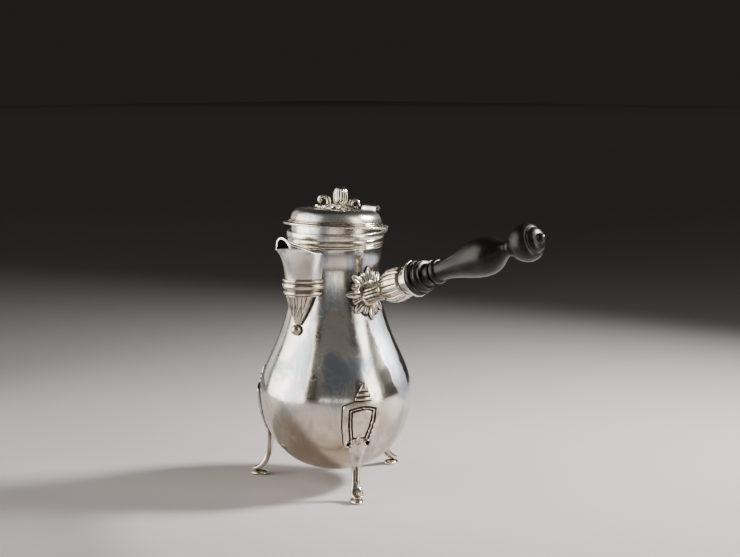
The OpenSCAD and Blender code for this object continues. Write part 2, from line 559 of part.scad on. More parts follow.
// Lid: raised dome on a wide flange, with a stirring hole in the middle
edge_r = flange_t / 2;
dome_side = curve([dome_r, flange_z], [dome_r - 0.4, flange_z + 5.4], [dome_r - 1.6, crown_z - 0.5], [crown_r, crown_z], 14);
module lid_shell() {
    inner = reversed(beside(dome_side, -wall));
    color(silver) on_lid() difference() {
        rotate_extrude() polygon(concat(
            [[bezel_r - 0.9, under_z]], bead(flange_r - edge_r, edge_r, under_z, flange_z, 8), dome_side,
            [[0, crown_z], [0, crown_z - wall]], [for (i = [0:len(inner) - 2]) inner[i]],
            [[dome_r - wall, flange_z - 0.6], [bezel_r - 0.9, flange_z - 0.6]]));
        translate([0, 0, crown_z - 5]) cylinder(r = stir_hole_r, h = 10);
        translate([-rivet_x, 0, crown_z - 5]) cylinder(r = rivet_r + fit_gap, h = 10, $fn = 48);
    }
}
module lid_moulding() {
    color(silver) on_lid() rotate_extrude() polygon(concat(
        [[dome_r + 0.1, flange_z]], bead(dome_r + 0.9, 1.1, flange_z, flange_z + 1.4, 6),
        bead(dome_r + 0.7, 0.6, flange_z + 1.4, flange_z + 2.4, 6), [[dome_r + 0.1, flange_z + 2.4]]));
}
module lid_bezel() {
    color(silver) on_lid() rotate_extrude() polygon([
        [bezel_r - 0.9, under_z], [bezel_r, under_z], [bezel_r, under_z - bezel_h + 1], [bezel_r - 0.3, under_z - bezel_h],
        [bezel_r - 0.9, under_z - bezel_h]]);
}

// Strap that carries the lid's two knuckles over the edge of the flange
strap_t = 1.2;
strap_in = dome_r + 2.3;
module lid_strap() {
    top = flange_z + strap_t;
    color(silver) on_lid() difference() {
        union() {
            translate([0, 0, flange_z + 0.02]) linear_extrude(strap_t) intersection() {
                difference() { circle(r = flange_r + 0.6); circle(r = strap_in); }
                translate([-hinge_w / 2 + 0.5, 0]) square([hinge_w - 1, 60]);
            }
            for (i = [1, 3]) {
                knuckle(i);
                translate([knuckle_x(i), 0, 0]) rotate([90, 0, 90]) linear_extrude(knuckle_l) polygon([
                    [hinge_y, hinge_z], [hinge_y + knuckle_r - 0.1, hinge_z + 0.6], [hinge_y + 0.6, top], [strap_in + 1.4, top],
                    [strap_in + 1.4, flange_z + 0.02], [flange_r + 0.5, flange_z + 0.02], [flange_r + 0.5, hinge_z + 0.4]]);
            }
        }
        pin_bore(run_gap);
    }
}

// Thumbpiece: rises along the dome from the strap and curls outwards at its top
thumb_path = concat(
    curve([dome_r + 4.6, flange_z + strap_t + 0.05], [dome_r + 2.2, flange_z + 3.4], [dome_r + 1.8, rim_z + 8],
        [dome_r + 1.1, rim_z + thumb_h - 5], 7),
    curve([dome_r + 1.1, rim_z + thumb_h - 5], [dome_r + 0.4, rim_z + thumb_h - 0.4], [dome_r + 3.8, rim_z + thumb_h + 1.8],
        [dome_r + 5.4, rim_z + thumb_h - 2.6], 7));
thumb_t = 1.1;
module thumbpiece() {
    n = len(thumb_path) - 1;
    cols = [-1, -0.7, -0.35, 0, 0.35, 0.7, 1];
    function width(i) = mix(hinge_w / 2 - 1, thumb_top_w / 2, smooth(i / 9)) - (i > n - 2 ? 0.8 * (i - n + 2) : 0);
    function wrapped(i, x, p) = let (k = 1 - smooth((i - 4) / 6)) [-x, p[0] - k * (p[0] - sqrt(p[0]*p[0] - x*x)), p[1]];
    function side(h) = let (path = beside(thumb_path, h))
        [for (i = [0:n]) [for (c = cols) wrapped(i, c * width(i), i == 0 ? thumb_path[0] + [h, 0] : path[i])]];
    color(silver) on_lid() slab(side(thumb_t / 2), side(-thumb_t / 2));
}

// Rivet on which the finial swings aside, fixed in the lid
rivet_head_t = 0.9;
module finial_rivet() {
    color(silver) on_lid() translate([-rivet_x, 0, 0]) {
        translate([0, 0, crown_z - wall - 1.6]) cylinder(r = rivet_r, h = wall + 1.6 + seat_gap + plate_t + 0.3, $fn = 48);
        translate([0, 0, leaf_z + 0.2]) intersection() {
            cylinder(r = 2.5, h = rivet_head_t, $fn = 48);
            translate([0, 0, -2.6]) sphere(r = 3.6, $fn = 48);
        }
    }
}
module rivet_burr() {
    color(silver) on_lid() translate([-rivet_x, 0, crown_z - wall - 1.3]) difference() {
        cylinder(r = 3, h = 1.1, $fn = 48);
        translate([0, 0, -1]) cylinder(r = rivet_r + fit_gap, h = 4, $fn = 48);
    }
}

// Plate that covers the stirring hole and turns on the rivet
cover_r = 10.4;
module finial_plate() {
    color(silver) on_lid() translate([0, 0, plate_z]) difference() {
        union() {
            cylinder(r = cover_r, h = plate_t);
            translate([-rivet_x, 0, 0]) cylinder(r = 3.4, h = plate_t, $fn = 48);
            translate([-rivet_x, -3.4, 0]) cube([rivet_x, 6.8, plate_t]);
        }
        translate([-rivet_x, 0, -1]) cylinder(r = rivet_r + run_gap, h = 5, $fn = 48);
    }
}

// Ruffled leaves spread over the plate, open on the rivet's side
terrace_n = 7;
terrace_cols = 70;
tip_droop = 0.6;
leaf_t = 1.1;
function leaf_reach(a) = let (k = abs(cos(terrace_n * (a + 180) / 2)), notch = smooth((abs(a) - 125) / 30))
    mix(terrace_r * (0.66 + 0.34 * pow(k, 0.7)), 8.4, notch);
function leaf_rise(s, a) = let (k = abs(cos(terrace_n * (a + 180) / 2)))
    1.9 * (1 - s * s) + 0.5 + 0.7 * k * s * (1 - 0.5 * s) + 0.5 * s * cos(terrace_n * 3 * a);
module finial_leaves() {
    rings = [0.12, 0.35, 0.5, 0.68, 1];
    function place(i, j, h) = let (a = 180 - 360 * j / terrace_cols, r = rings[i] * leaf_reach(a))
        [r * cos(a), r * sin(a), leaf_z + h];
    // The leaves' tips droop where they reach beyond the plate
    function under(i, a) = i < 3 ? 0.02 : i == 3 ? 0.1
        : max(-tip_droop * smooth((leaf_reach(a) - cover_r - 3) / 2), leaf_rise(1, a) - leaf_t);
    color(silver) on_lid() slab(
        [for (i = [0:4]) [for (j = [0:terrace_cols - 1]) place(i, j, leaf_rise(rings[i], 180 - 360 * j / terrace_cols))]],
        [for (i = [0:4]) [for (j = [0:terrace_cols - 1]) place(i, j, under(i, 180 - 360 * j / terrace_cols))]], wrap = true);
}

// Ribbed fruit in the middle of the leaves
fruit_at = [2.2, 2, 0];
fruit_z = leaf_z + 2.7;
module finial_fruit() {
    h = rim_z + fruit_top - fruit_z;
    profile = concat(curve([fruit_r * 0.62, 0], [fruit_r * 1.12, h * 0.12], [fruit_r * 1.1, h * 0.55], [fruit_r * 0.78, h * 0.8], 8),
        [for (i = [1:4]) curve([fruit_r * 0.78, h * 0.8], [fruit_r * 0.6, h * 0.95], [fruit_r * 0.4, h], [fruit_r * 0.12, h], 4)[i]]);
    color(silver) on_lid() translate(fruit_at + [0, 0, fruit_z])
        loft([for (p = profile) [for (j = [0:31]) let (a = 360 * j / 32, r = p[0] * (1 - 0.07 * pow(abs(sin(4 * a)), 3)))
            [r * cos(a), r * sin(a), p[1]]]]);
}

// Round rod of varying radius swept along a path
module rod(path, radius, m = 8) {
    n = len(path) - 1;
    loft([for (i = [0:n]) let (t = path[min(n, i + 1)] - path[max(0, i - 1)], d = t / norm(t),
        e = cross([0.3, 0.9, 0.1], d) / norm(cross([0.3, 0.9, 0.1], d)), f = cross(d, e))
        [for (j = [0:m - 1]) let (a = 360 * j / m) path[i] + radius[i] * (cos(a) * e + sin(a) * f)]]);
}
// Curled stalk beside the fruit, and a curled leaf on its other side
stalk_path = curve([-4.4, -4.2, 3.3], [-4.4, -4.2, 10.4], [-11.6, -11, 12], [-8.8, -8.4, 3.4], 9);
module finial_stalk() {
    color(silver) on_lid() translate([0, 0, leaf_z])
        rod(stalk_path, [for (i = [0:9]) mix(1.5, 1.1, i / 9)], 8);
}
curl_path = curve([7.6, 7.2, 2.35], [8.4, 8, 7], [11.6, 11, 6.8], [12.2, 11.6, 2.2], 9);
module finial_curl() {
    color(silver) on_lid() translate([0, 0, leaf_z])
        rod(curl_path, [for (i = [0:9]) 1.3 - 0.6 * abs(i / 9 - 0.3)], 8);
}

body_shell();
rim_band();
neck_moulding();
spout();
spout_reeds();
spout_leaves();
spout_pearl();
leg_front();
leg_left();
leg_back();
handle_rosette();
handle_socket();
socket_ring();
handle_grip();
handle_pin();
hinge_bracket();
hinge_pin();
lid_shell();
lid_moulding();
lid_bezel();
lid_strap();
thumbpiece();
finial_rivet();
rivet_burr();
finial_plate();
finial_leaves();
finial_fruit();
finial_stalk();
finial_curl();
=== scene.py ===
# Silver chocolate pot with a turned black handle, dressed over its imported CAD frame
import math
import bmesh
import bpy
import numpy as np
from mathutils import Matrix, Vector


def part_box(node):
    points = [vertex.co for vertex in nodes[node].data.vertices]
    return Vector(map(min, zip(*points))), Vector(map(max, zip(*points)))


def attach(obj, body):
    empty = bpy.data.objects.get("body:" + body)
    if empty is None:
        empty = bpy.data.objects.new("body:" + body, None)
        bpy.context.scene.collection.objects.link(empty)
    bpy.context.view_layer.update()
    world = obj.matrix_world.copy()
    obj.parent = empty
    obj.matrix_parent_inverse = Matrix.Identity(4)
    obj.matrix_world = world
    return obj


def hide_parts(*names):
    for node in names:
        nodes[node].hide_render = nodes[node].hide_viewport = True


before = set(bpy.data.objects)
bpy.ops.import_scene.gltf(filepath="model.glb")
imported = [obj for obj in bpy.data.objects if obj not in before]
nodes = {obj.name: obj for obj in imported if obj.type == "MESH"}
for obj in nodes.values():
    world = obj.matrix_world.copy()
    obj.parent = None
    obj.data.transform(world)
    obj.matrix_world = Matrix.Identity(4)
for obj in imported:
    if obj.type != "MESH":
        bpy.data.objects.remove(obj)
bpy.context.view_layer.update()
mm = 0.001
print("frame loaded:", len(nodes), "nodes")

# Camera and lights
camera = {
    "place": (0.7790, -0.7790, 0.3231),   # metres from the middle of the table under the pot
    "heading": 133.57,                    # degrees from +X towards +Y
    "dip": 8.13,                          # degrees below level
    "lens": 67.55,
}
view = bpy.data.cameras.new("camera")
view.lens = camera["lens"]
view.sensor_width = 36
view.clip_start = 0.01
viewpoint = bpy.data.objects.new("camera", view)
bpy.context.scene.collection.objects.link(viewpoint)
heading, dip = math.radians(camera["heading"]), math.radians(camera["dip"])
sight = Vector((math.cos(heading) * math.cos(dip), math.sin(heading) * math.cos(dip), -math.sin(dip)))
viewpoint.location = camera["place"]
viewpoint.rotation_mode = "QUATERNION"
viewpoint.rotation_quaternion = sight.to_track_quat("-Z", "Y")
bpy.context.scene.camera = viewpoint

# Azimuths are degrees to the right of the line from the pot to the camera, lengths are metres, spreads degrees
softboxes = [
    {"name": "left_panel", "azimuth": -82, "distance": 0.46, "height": 0.36, "aim": 0.33,
     "size": (0.68, 0.72), "watts": 3.6, "spread": 110, "tone": (1, 0.95, 0.88)},
    {"name": "back_left", "azimuth": -140, "distance": 0.62, "height": 0.3, "aim": 0.28,
     "size": (0.3, 0.5), "watts": 0.11, "spread": 100, "tone": (1, 0.96, 0.9)},
    {"name": "right_panel", "azimuth": 57, "distance": 0.60, "height": 0.36, "aim": 0.3,
     "size": (0.21, 0.72), "watts": 1.15, "spread": 115, "tone": (1, 0.97, 0.92)},
    {"name": "front_strip", "azimuth": -2, "distance": 1.9, "height": 0.05, "aim": 0.05,
     "size": (1.5, 0.2), "watts": 1.2, "spread": 180, "tone": (1, 0.96, 0.9)},
    {"name": "front_card", "azimuth": -2, "distance": 1.8, "height": 0.02, "aim": 60,
     "size": (1.2, 1.2), "watts": 6, "spread": 180, "tone": (1, 0.95, 0.88)},
    {"name": "front_fill", "azimuth": 0, "distance": 2.6, "height": 1.0, "aim": 0.1,
     "size": (3.0, 2.0), "watts": 2.2, "spread": 180, "tone": (1, 0.97, 0.94)},
    {"name": "ceiling", "azimuth": 0, "distance": 1.1, "height": 2.0, "aim": 0,
     "size": (3.0, 1.8), "watts": 2.1, "spread": 180, "tone": (0.93, 0.96, 1)},
    {"name": "far_fill", "azimuth": 180, "distance": 10, "height": 4, "aim": -60,
     "size": (30, 14), "watts": 30, "spread": 180, "tone": (1, 0.93, 0.9)},
    {"name": "key", "azimuth": 100, "distance": 0.95, "height": 0.72, "aim": 0,
     "size": (0.20, 0.20), "watts": 8.8, "spread": 90, "tone": (1, 0.98, 0.97)},
]
roomGlow = {"colour": (0.0195, 0.017, 0.0162), "strength": 1.0}
cameraAzimuth = math.degrees(math.atan2(camera["place"][1], camera["place"][0]))
for box in softboxes:
    light = bpy.data.lights.new(box["name"], "AREA")
    light.shape = "RECTANGLE"
    light.size, light.size_y = box["size"]
    light.energy = box["watts"]
    light.color = box["tone"]
    light.spread = math.radians(box["spread"])
    lamp = bpy.data.objects.new(box["name"], light)
    lamp.visible_camera = False
    bpy.context.scene.collection.objects.link(lamp)
    bearing = math.radians(cameraAzimuth + box["azimuth"])
    lamp.location = (box["distance"] * math.cos(bearing), box["distance"] * math.sin(bearing), box["height"])
    lamp.rotation_mode = "QUATERNION"
    lamp.rotation_quaternion = (Vector((0, 0, box["aim"])) - lamp.location).to_track_quat("-Z", "Y")
room = bpy.data.worlds.new("room")
bpy.context.scene.world = room
room.use_nodes = True
room.node_tree.nodes["Background"].inputs["Color"].default_value = (*roomGlow["colour"], 1)
room.node_tree.nodes["Background"].inputs["Strength"].default_value = roomGlow["strength"]
print("camera and lights placed")


# Materials written as expressions
class Link:
    def __init__(self, finish, socket):
        self.finish, self.socket = finish, socket

    def maths(self, operation, first, second):
        return self.finish.node("ShaderNodeMath", {"operation": operation}, {0: first, 1: second})

    def __add__(self, other): return self.maths("ADD", self, other)
    def __radd__(self, other): return self.maths("ADD", other, self)
    def __sub__(self, other): return self.maths("SUBTRACT", self, other)
    def __rsub__(self, other): return self.maths("SUBTRACT", other, self)
    def __mul__(self, other): return self.maths("MULTIPLY", self, other)
    def __rmul__(self, other): return self.maths("MULTIPLY", other, self)


class Finish:
    def __init__(self, name):
        self.material = bpy.data.materials.new(name)
        self.material.use_nodes = True
        self.tree = self.material.node_tree
        self.shader = self.tree.nodes["Principled BSDF"]

    def node(self, kind, settings=None, inputs=None, output=0):
        made = self.tree.nodes.new(kind)
        for key, value in (settings or {}).items():
            setattr(made, key, value)
        for key, value in (inputs or {}).items():
            self.feed(made.inputs[key], value)
        return Link(self, made.outputs[output])

    def feed(self, socket, value):
        if isinstance(value, Link):
            self.tree.links.new(value.socket, socket)
        elif isinstance(value, tuple) and len(value) == 3 and socket.type == "RGBA":
            socket.default_value = (*value, 1)
        else:
            socket.default_value = value

    def set(self, **values):
        for key, value in values.items():
            self.feed(self.shader.inputs[key.replace("_", " ")], value)

    def place(self):
        return self.node("ShaderNodeTexCoord", output="Object")

    def stretched(self, scale):
        return self.node("ShaderNodeMapping", {}, {"Vector": self.place(), "Scale": scale})

    def noise(self, scale, detail=3, where=None, roughness=0.5, distortion=0.0):
        return self.node("ShaderNodeTexNoise", {}, {"Vector": where or self.place(), "Scale": scale,
                         "Detail": detail, "Roughness": roughness, "Distortion": distortion})

    def step(self, value, low, high, start=0.0, end=1.0):
        return self.node("ShaderNodeMapRange", {"interpolation_type": "SMOOTHSTEP"},
                         {"Value": value, "From Min": low, "From Max": high, "To Min": start, "To Max": end})

    def blend(self, share, first, second):
        return self.node("ShaderNodeMix", {"data_type": "RGBA"}, {"Factor": share, "A": first, "B": second}, 2)

    def bump(self, height, distance):
        return self.node("ShaderNodeBump", {}, {"Height": height, "Distance": distance})

    def recess(self):
        return self.node("ShaderNodeAttribute", {"attribute_name": "recess"}, {}, "Fac")


sheetLook = {
    "bright": (0.93, 0.875, 0.79),
    "toned": (0.74, 0.67, 0.57),
    "cool": (0.26, 0.335, 0.43),
    # warm is the colour of the painted shade on the lower belly, and lightly of the metal above the rim
    "warm": (0.37, 0.29, 0.205),
    "roughness": 0.10,
    "waviness": 0.0003,              # metres, of the hammered sheet
    "film": (0.45, 0.6), "filmAmount": 0.75,
    "belly": (0.056, 0.084), "bellyShadeAmount": 0.95,      # heights in metres between which the warm painted shade on the lower belly fades
    "rim": (0.188, 0.196), "rimAmount": 0.35,
    "scuffAzimuth": 14, "scuffZ": 0.115, "scuffWide": (0.008, 0.014), "scuffTall": (0.034, 0.046),
}


# Sheet silver: cloudy tone, thin blue tarnish in blotches, fine scratches, and if worn a scuffed patch, a warmer top
# and a painted shade on the lower belly that stands for the reflected shaded floor
def sheetSilver(name, wornAndShaded=False, waviness=1.0, dull=0.0):
    f = Finish(name)
    cloud = f.noise(48, 5, roughness=0.62)
    tone = f.step(f.noise(14, 2) * 0.5 + cloud * 0.5, 0.42, 0.64)
    film = f.step(f.noise(30, 6, f.stretched((1.3, 1.3, 0.5)), 0.68, 0.7), *sheetLook["film"])
    hairs = f.noise(160, 5, f.stretched((1, 1, 16)), 0.7, 0.6)
    crossed = f.noise(150, 5, f.stretched((14, 2, 1)), 0.7, 0.6)
    scratch = f.step(hairs, 0.58, 0.70) + f.step(crossed, 0.60, 0.72)
    colour = f.blend(tone, sheetLook["bright"], sheetLook["toned"])
    colour = f.blend(film * sheetLook["filmAmount"], colour, sheetLook["cool"])
    rough = sheetLook["roughness"] + dull + tone * 0.05 + cloud * 0.07 + film * 0.07 + scratch * 0.05
    height = f.noise(48, 1) * (sheetLook["waviness"] * waviness) + f.noise(130, 3) * 0.00003 + scratch * 0.000012
    if wornAndShaded:
        x, y, z = (f.node("ShaderNodeSeparateXYZ", {}, {"Vector": f.place()}, k) for k in range(3))
        angle = math.radians(sheetLook["scuffAzimuth"])
        side = y * math.cos(angle) - x * math.sin(angle)
        facing = x * math.cos(angle) + y * math.sin(angle)
        edge = f.noise(90, 5) - 0.5
        across = f.node("ShaderNodeMath", {"operation": "ABSOLUTE"}, {0: side + (z - 0.11) * 0.12})
        up = f.node("ShaderNodeMath", {"operation": "ABSOLUTE"}, {0: z - sheetLook["scuffZ"]})
        inWidth = 1 - f.step(across + edge * 0.012, *sheetLook["scuffWide"])
        inHeight = 1 - f.step(up + edge * 0.02, *sheetLook["scuffTall"])
        patch = inWidth * inHeight * f.step(facing, 0.01, 0.02)
        scrape = f.noise(340, 5, f.stretched((3, 3, 1)), 0.8, 1.5)
        # Painted shade: the lower belly is darkened to a warm brown that stands for the reflection of the shaded
        # floor; above the rim height the metal takes a lighter share of the same warm colour
        low = (1 - f.step(z + (cloud - 0.5) * 0.02, *sheetLook["belly"])) * sheetLook["bellyShadeAmount"]
        edges = low + f.step(z, *sheetLook["rim"]) * sheetLook["rimAmount"]
        colour = f.blend(edges * (0.6 + 0.4 * tone), colour, sheetLook["warm"])
        colour = f.blend(patch * (0.45 + 0.5 * f.step(scrape, 0.4, 0.6)), colour, sheetLook["cool"])
        rough = rough + patch * (0.12 + 0.25 * f.noise(420, 4))
        height = height + scrape * patch * 0.00016
    f.set(Base_Color=colour, Metallic=1.0, Roughness=rough, Normal=f.bump(height, 1.0))
    return f.material


castLook = {
    "bright": (0.67, 0.615, 0.525),
    "toned": (0.42, 0.365, 0.285),
    "tarnish": (0.03, 0.022, 0.016),
    "grime": (0.10, 0.55),           # recess marks between which the tarnish sets in
    "roughness": 0.17,
}


# Cast silver: warmer and grainier, dark where the surface lies deep
def castSilver(name):
    f = Finish(name)
    grime = f.step(f.recess() + (f.noise(420, 4) - 0.5) * 0.3, *castLook["grime"])
    tone = f.step(f.noise(150, 4), 0.4, 0.7)
    colour = f.blend(grime, f.blend(tone, castLook["bright"], castLook["toned"]), castLook["tarnish"])
    rough = castLook["roughness"] + tone * 0.07 + grime * 0.35
    f.set(Base_Color=colour, Metallic=1 - grime * 0.35, Roughness=rough,
          Normal=f.bump(f.noise(260, 3) * 0.0001 + f.noise(1400, 3) * 0.000024, 1.0))
    return f.material


woodLook = {
    "dark": (0.005, 0.0045, 0.0045),
    "brown": (0.012, 0.009, 0.008),
    "roughness": 0.30,
    "coat": 0.05, "coatRoughness": 0.14,
    "ior": 1.32,
}


# Black wood: fine pores along the grain, a thin worn polish and a little dust
def ebonisedWood(name, tilt):
    f = Finish(name)
    along = f.node("ShaderNodeMapping", {}, {"Vector": f.place(), "Rotation": (0, tilt, 0), "Scale": (1, 1, 0.06)})
    grain = f.noise(700, 5, along, 0.65, 0.4)
    pores = f.step(grain, 0.58, 0.66)
    dust = f.step(f.noise(60, 4), 0.45, 0.75)
    colour = f.blend(f.step(grain, 0.35, 0.7) * 0.7, woodLook["dark"], woodLook["brown"])
    rough = woodLook["roughness"] + dust * 0.1 + pores * 0.08
    f.set(Base_Color=colour, Roughness=rough, Coat_Weight=woodLook["coat"] + dust * 0.05,
          Normal=f.bump(pores, 0.00002))
    f.shader.inputs["Coat Roughness"].default_value = woodLook["coatRoughness"]
    f.shader.inputs["IOR"].default_value = woodLook["ior"]
    return f.material


handleSlope = 19.0            # degrees above level
bodySilver = sheetSilver("body_silver", wornAndShaded=True)
lidSilver = sheetSilver("lid_silver", wornAndShaded=True, dull=0.09)
plainSilver = sheetSilver("plain_silver", waviness=0.5, dull=0.08)
chasedSilver = castSilver("chased_silver")
blackWood = ebonisedWood("black_wood", math.radians(90 - handleSlope))
print("finishes written")


# Curves and surfaces, in millimetres
def mix(a, b, t):
    return a + (b - a) * t


def ease(x):
    t = max(0.0, min(1.0, x))
    return t * t * (3 - 2 * t)


# Cubic from a to d that b and c pull, in n steps
def curve(a, b, c, d, n):
    points = []
    for i in range(n + 1):
        t = i / n
        s = 1 - t
        points.append(tuple(s**3 * p + 3 * s * s * t * q + 3 * s * t * t * r + t**3 * u
                            for p, q, r, u in zip(a, b, c, d)))
    return points


# Outline of a round bead between two heights
def bead(radius, rise, low, high, n=14):
    middle, reach = (low + high) / 2, (high - low) / 2
    return [(radius + rise * math.sin(math.pi * i / n), middle - reach * math.cos(math.pi * i / n))
            for i in range(n + 1)]


# Smooth line through the points, with steps in each span
def through(points, steps):
    line = []
    last = len(points) - 1
    for i in range(last):
        p = [np.array(points[max(0, min(last, i + k))], float) for k in (-1, 0, 1, 2)]
        for j in range(steps):
            t = j / steps
            line.append(tuple(0.5 * (2 * p[1] + (p[2] - p[0]) * t + (2 * p[0] - 5 * p[1] + 4 * p[2] - p[3]) * t * t
                                     + (3 * p[1] - p[0] - 3 * p[2] + p[3]) * t**3)))
    line.append(tuple(float(x) for x in points[-1]))
    return line


# Outline moved inwards by a thickness, as a second line in the same direction
def inside(path, thickness):
    moved = []
    for i, p in enumerate(path):
        a, b = path[max(0, i - 1)], path[min(len(path) - 1, i + 1)]
        length = math.hypot(b[0] - a[0], b[1] - a[1])
        moved.append((max(0, p[0] - thickness * (b[1] - a[1]) / length),
                      p[1] + thickness * (b[0] - a[0]) / length))
    return moved


def around(steps):
    return [2 * math.pi * k / steps for k in range(steps)]


def halfTurn(steps):
    return [math.pi * i / steps for i in range(steps + 1)]


# A shell is a list of rings of points; it may close on itself from the last ring to the first
def turned(profile, steps=192):
    rings = [[(r * math.cos(q), r * math.sin(q), z) for q in around(steps)] for r, z in profile]
    return {"rings": rings, "closed": True}


def slab(upper, lower):
    return {"rings": [list(a) + list(reversed(b)) for a, b in zip(upper, lower)], "closed": False}


def disc(upper, lower):
    return {"rings": list(upper) + list(reversed(lower)), "closed": True}


def rod(path, radii, sides=16, closed=False):
    rings = []
    n = len(path)
    for i, p in enumerate(path):
        a = path[(i - 1) % n] if closed else path[max(0, i - 1)]
        b = path[(i + 1) % n] if closed else path[min(n - 1, i + 1)]
        way = (Vector(b) - Vector(a)).normalized()
        side = Vector((0.3, 0.9, 0.1)).cross(way).normalized()
        up = way.cross(side)
        r = radii[i] if isinstance(radii, (list, tuple)) else radii
        rings.append([tuple(Vector(p) + r * (math.cos(q) * side + math.sin(q) * up)) for q in around(sides)])
    return {"rings": rings, "closed": closed}


def addShell(work, shell, place):
    rows = []
    for ring in shell["rings"]:
        rows.append([work.verts.new(place @ (Vector(p) * mm)) for p in ring])
    made = [v for row in rows for v in row]
    count = len(rows)
    for i in range(count if shell["closed"] else count - 1):
        a, b = rows[i], rows[(i + 1) % count]
        for j in range(len(a)):
            k = (j + 1) % len(a)
            work.faces.new((a[j], a[k], b[k], b[j]))
    if not shell["closed"]:
        work.faces.new(list(reversed(rows[0])))
        work.faces.new(rows[-1])
    bmesh.ops.remove_doubles(work, verts=made, dist=2e-6)


# How far each point lies below its surroundings: 1 in a groove or beside the body's skin, 0 on open metal
def markRecesses(mesh, depth, rounds, seam):
    count = len(mesh.vertices)
    co = np.empty(count * 3)
    mesh.vertices.foreach_get("co", co)
    co = co.reshape(-1, 3)
    ends = np.empty(len(mesh.edges) * 2, np.int64)
    mesh.edges.foreach_get("vertices", ends)
    first, second = ends.reshape(-1, 2).T
    joined = np.bincount(ends, minlength=count)[:, None]
    normals = np.empty(count * 3)
    mesh.vertices.foreach_get("normal", normals)
    soft = co.copy()
    for _ in range(rounds):
        total = np.stack([np.bincount(first, soft[second, k], count)
                          + np.bincount(second, soft[first, k], count) for k in range(3)], 1)
        soft = 0.4 * soft + 0.6 * total / np.maximum(joined, 1)
    sunk = ((soft - co) * normals.reshape(-1, 3)).sum(1) / (depth * mm)
    if seam:
        off = np.hypot(co[:, 0], co[:, 1]) / mm - np.interp(co[:, 2] / mm, skinZ, skinR)
        sunk = np.maximum(sunk, 1 - off / seam)
    mark = mesh.attributes.new("recess", "FLOAT", "POINT")
    mark.data.foreach_set("value", np.clip(sunk, 0, 1).astype(np.float32))


# One piece from its shells, riding on a body; depth, rounds and seam say how its recesses are marked
def makePiece(name, shells, material, body, replaced=(), place=Matrix.Identity(4),
              sharp=40, depth=0.0, rounds=8, seam=0.0):
    work = bmesh.new()
    for shell in shells:
        addShell(work, shell, place)
    bmesh.ops.dissolve_degenerate(work, edges=work.edges, dist=1e-6)
    bmesh.ops.recalc_face_normals(work, faces=work.faces)
    mesh = bpy.data.meshes.new(name)
    work.to_mesh(mesh)
    work.free()
    mesh.materials.append(material)
    for face in mesh.polygons:
        face.use_smooth = True
    mesh.set_sharp_from_angle(angle=math.radians(sharp))
    if depth:
        markRecesses(mesh, depth, rounds, seam)
    piece = bpy.data.objects.new(name, mesh)
    bpy.context.scene.collection.objects.link(piece)
    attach(piece, body)
    if replaced:
        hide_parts(*replaced)
    return piece


# Body
low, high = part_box("body_shell")
body = {
    "bellyR": high.x / mm, "bellyZ": 75.0, "baseZ": low.z / mm, "rimZ": high.z / mm,
    "neckR": 35.0, "neckZ": 176.0, "mouthR": 36.9, "wall": 1.0,
    "bandR": 38.8, "bandH": 5.0, "wideReed": 4.3, "thinReed": 1.7,
    "pourR": 8.0, "pourZ": (168.0, 181.0),
}
bandZ = body["rimZ"] - body["bandH"]
wideZ = bandZ - body["wideReed"]
reedsZ = wideZ - 2 * body["thinReed"]
bellyR, bellyZ, neckR, neckZ, mouthR = (body[k] for k in ("bellyR", "bellyZ", "neckR", "neckZ", "mouthR"))
bellyLow = curve((0, body["baseZ"]), (0.946 * bellyR, body["baseZ"]), (bellyR, bellyZ - 10.3), (bellyR, bellyZ), 56)
bellyHigh = curve((bellyR, bellyZ), (bellyR, bellyZ + 26.4), (neckR, neckZ - 55.5), (neckR, neckZ), 80)
neckHigh = curve((neckR, neckZ), (neckR, neckZ + 6), (mouthR, reedsZ - 8), (mouthR, reedsZ), 14)
skin = bellyLow + bellyHigh[1:] + neckHigh[1:] + [(mouthR, body["rimZ"])]
skinZ = np.array([p[1] for p in skin])
skinR = np.array([p[0] for p in skin])


def skinRadius(z):
    return float(np.interp(z, skinZ, skinR))


def onSkin(azimuth, along, z, h):
    tilt = -(skinRadius(z + 1.5) - skinRadius(z - 1.5)) / 3
    length = math.hypot(1, tilt)
    a = math.radians(azimuth) + along / skinRadius(z)
    r = skinRadius(z) + h / length
    return (r * math.cos(a), r * math.sin(a), z + h * tilt / length)


# Cuts a solid out of a piece and keeps the result as its mesh
def cutOut(piece, cutter):
    boolean = piece.modifiers.new("cut", "BOOLEAN")
    boolean.operation, boolean.solver, boolean.object = "DIFFERENCE", "EXACT", cutter
    bpy.context.view_layer.update()
    result = bpy.data.meshes.new_from_object(piece.evaluated_get(bpy.context.evaluated_depsgraph_get()))
    piece.modifiers.clear()
    piece.data = result
    bpy.data.objects.remove(cutter)


bodyPiece = makePiece("pear_body", [turned(skin + list(reversed(inside(skin, body["wall"]))), 256)],
                      bodySilver, "pot", ["body_shell"], sharp=35)
outline = [(body["pourR"] * math.cos(a), body["pourZ"][k] + body["pourR"] * math.sin(a))
           for k, start in ((0, math.pi), (1, 0)) for a in (start + math.pi * i / 16 for i in range(17))]
cutterMesh = bpy.data.meshes.new("pour_cutter")
work = bmesh.new()
pourRings = [[(x, y, z) for x, z in outline] for y in (-neckR - 12, -neckR / 2)]
addShell(work, {"rings": pourRings, "closed": False}, Matrix.Identity(4))
bmesh.ops.recalc_face_normals(work, faces=work.faces)
work.to_mesh(cutterMesh)
work.free()
pourCutter = bpy.data.objects.new("pour_cutter", cutterMesh)
bpy.context.scene.collection.objects.link(pourCutter)
cutOut(bodyPiece, pourCutter)

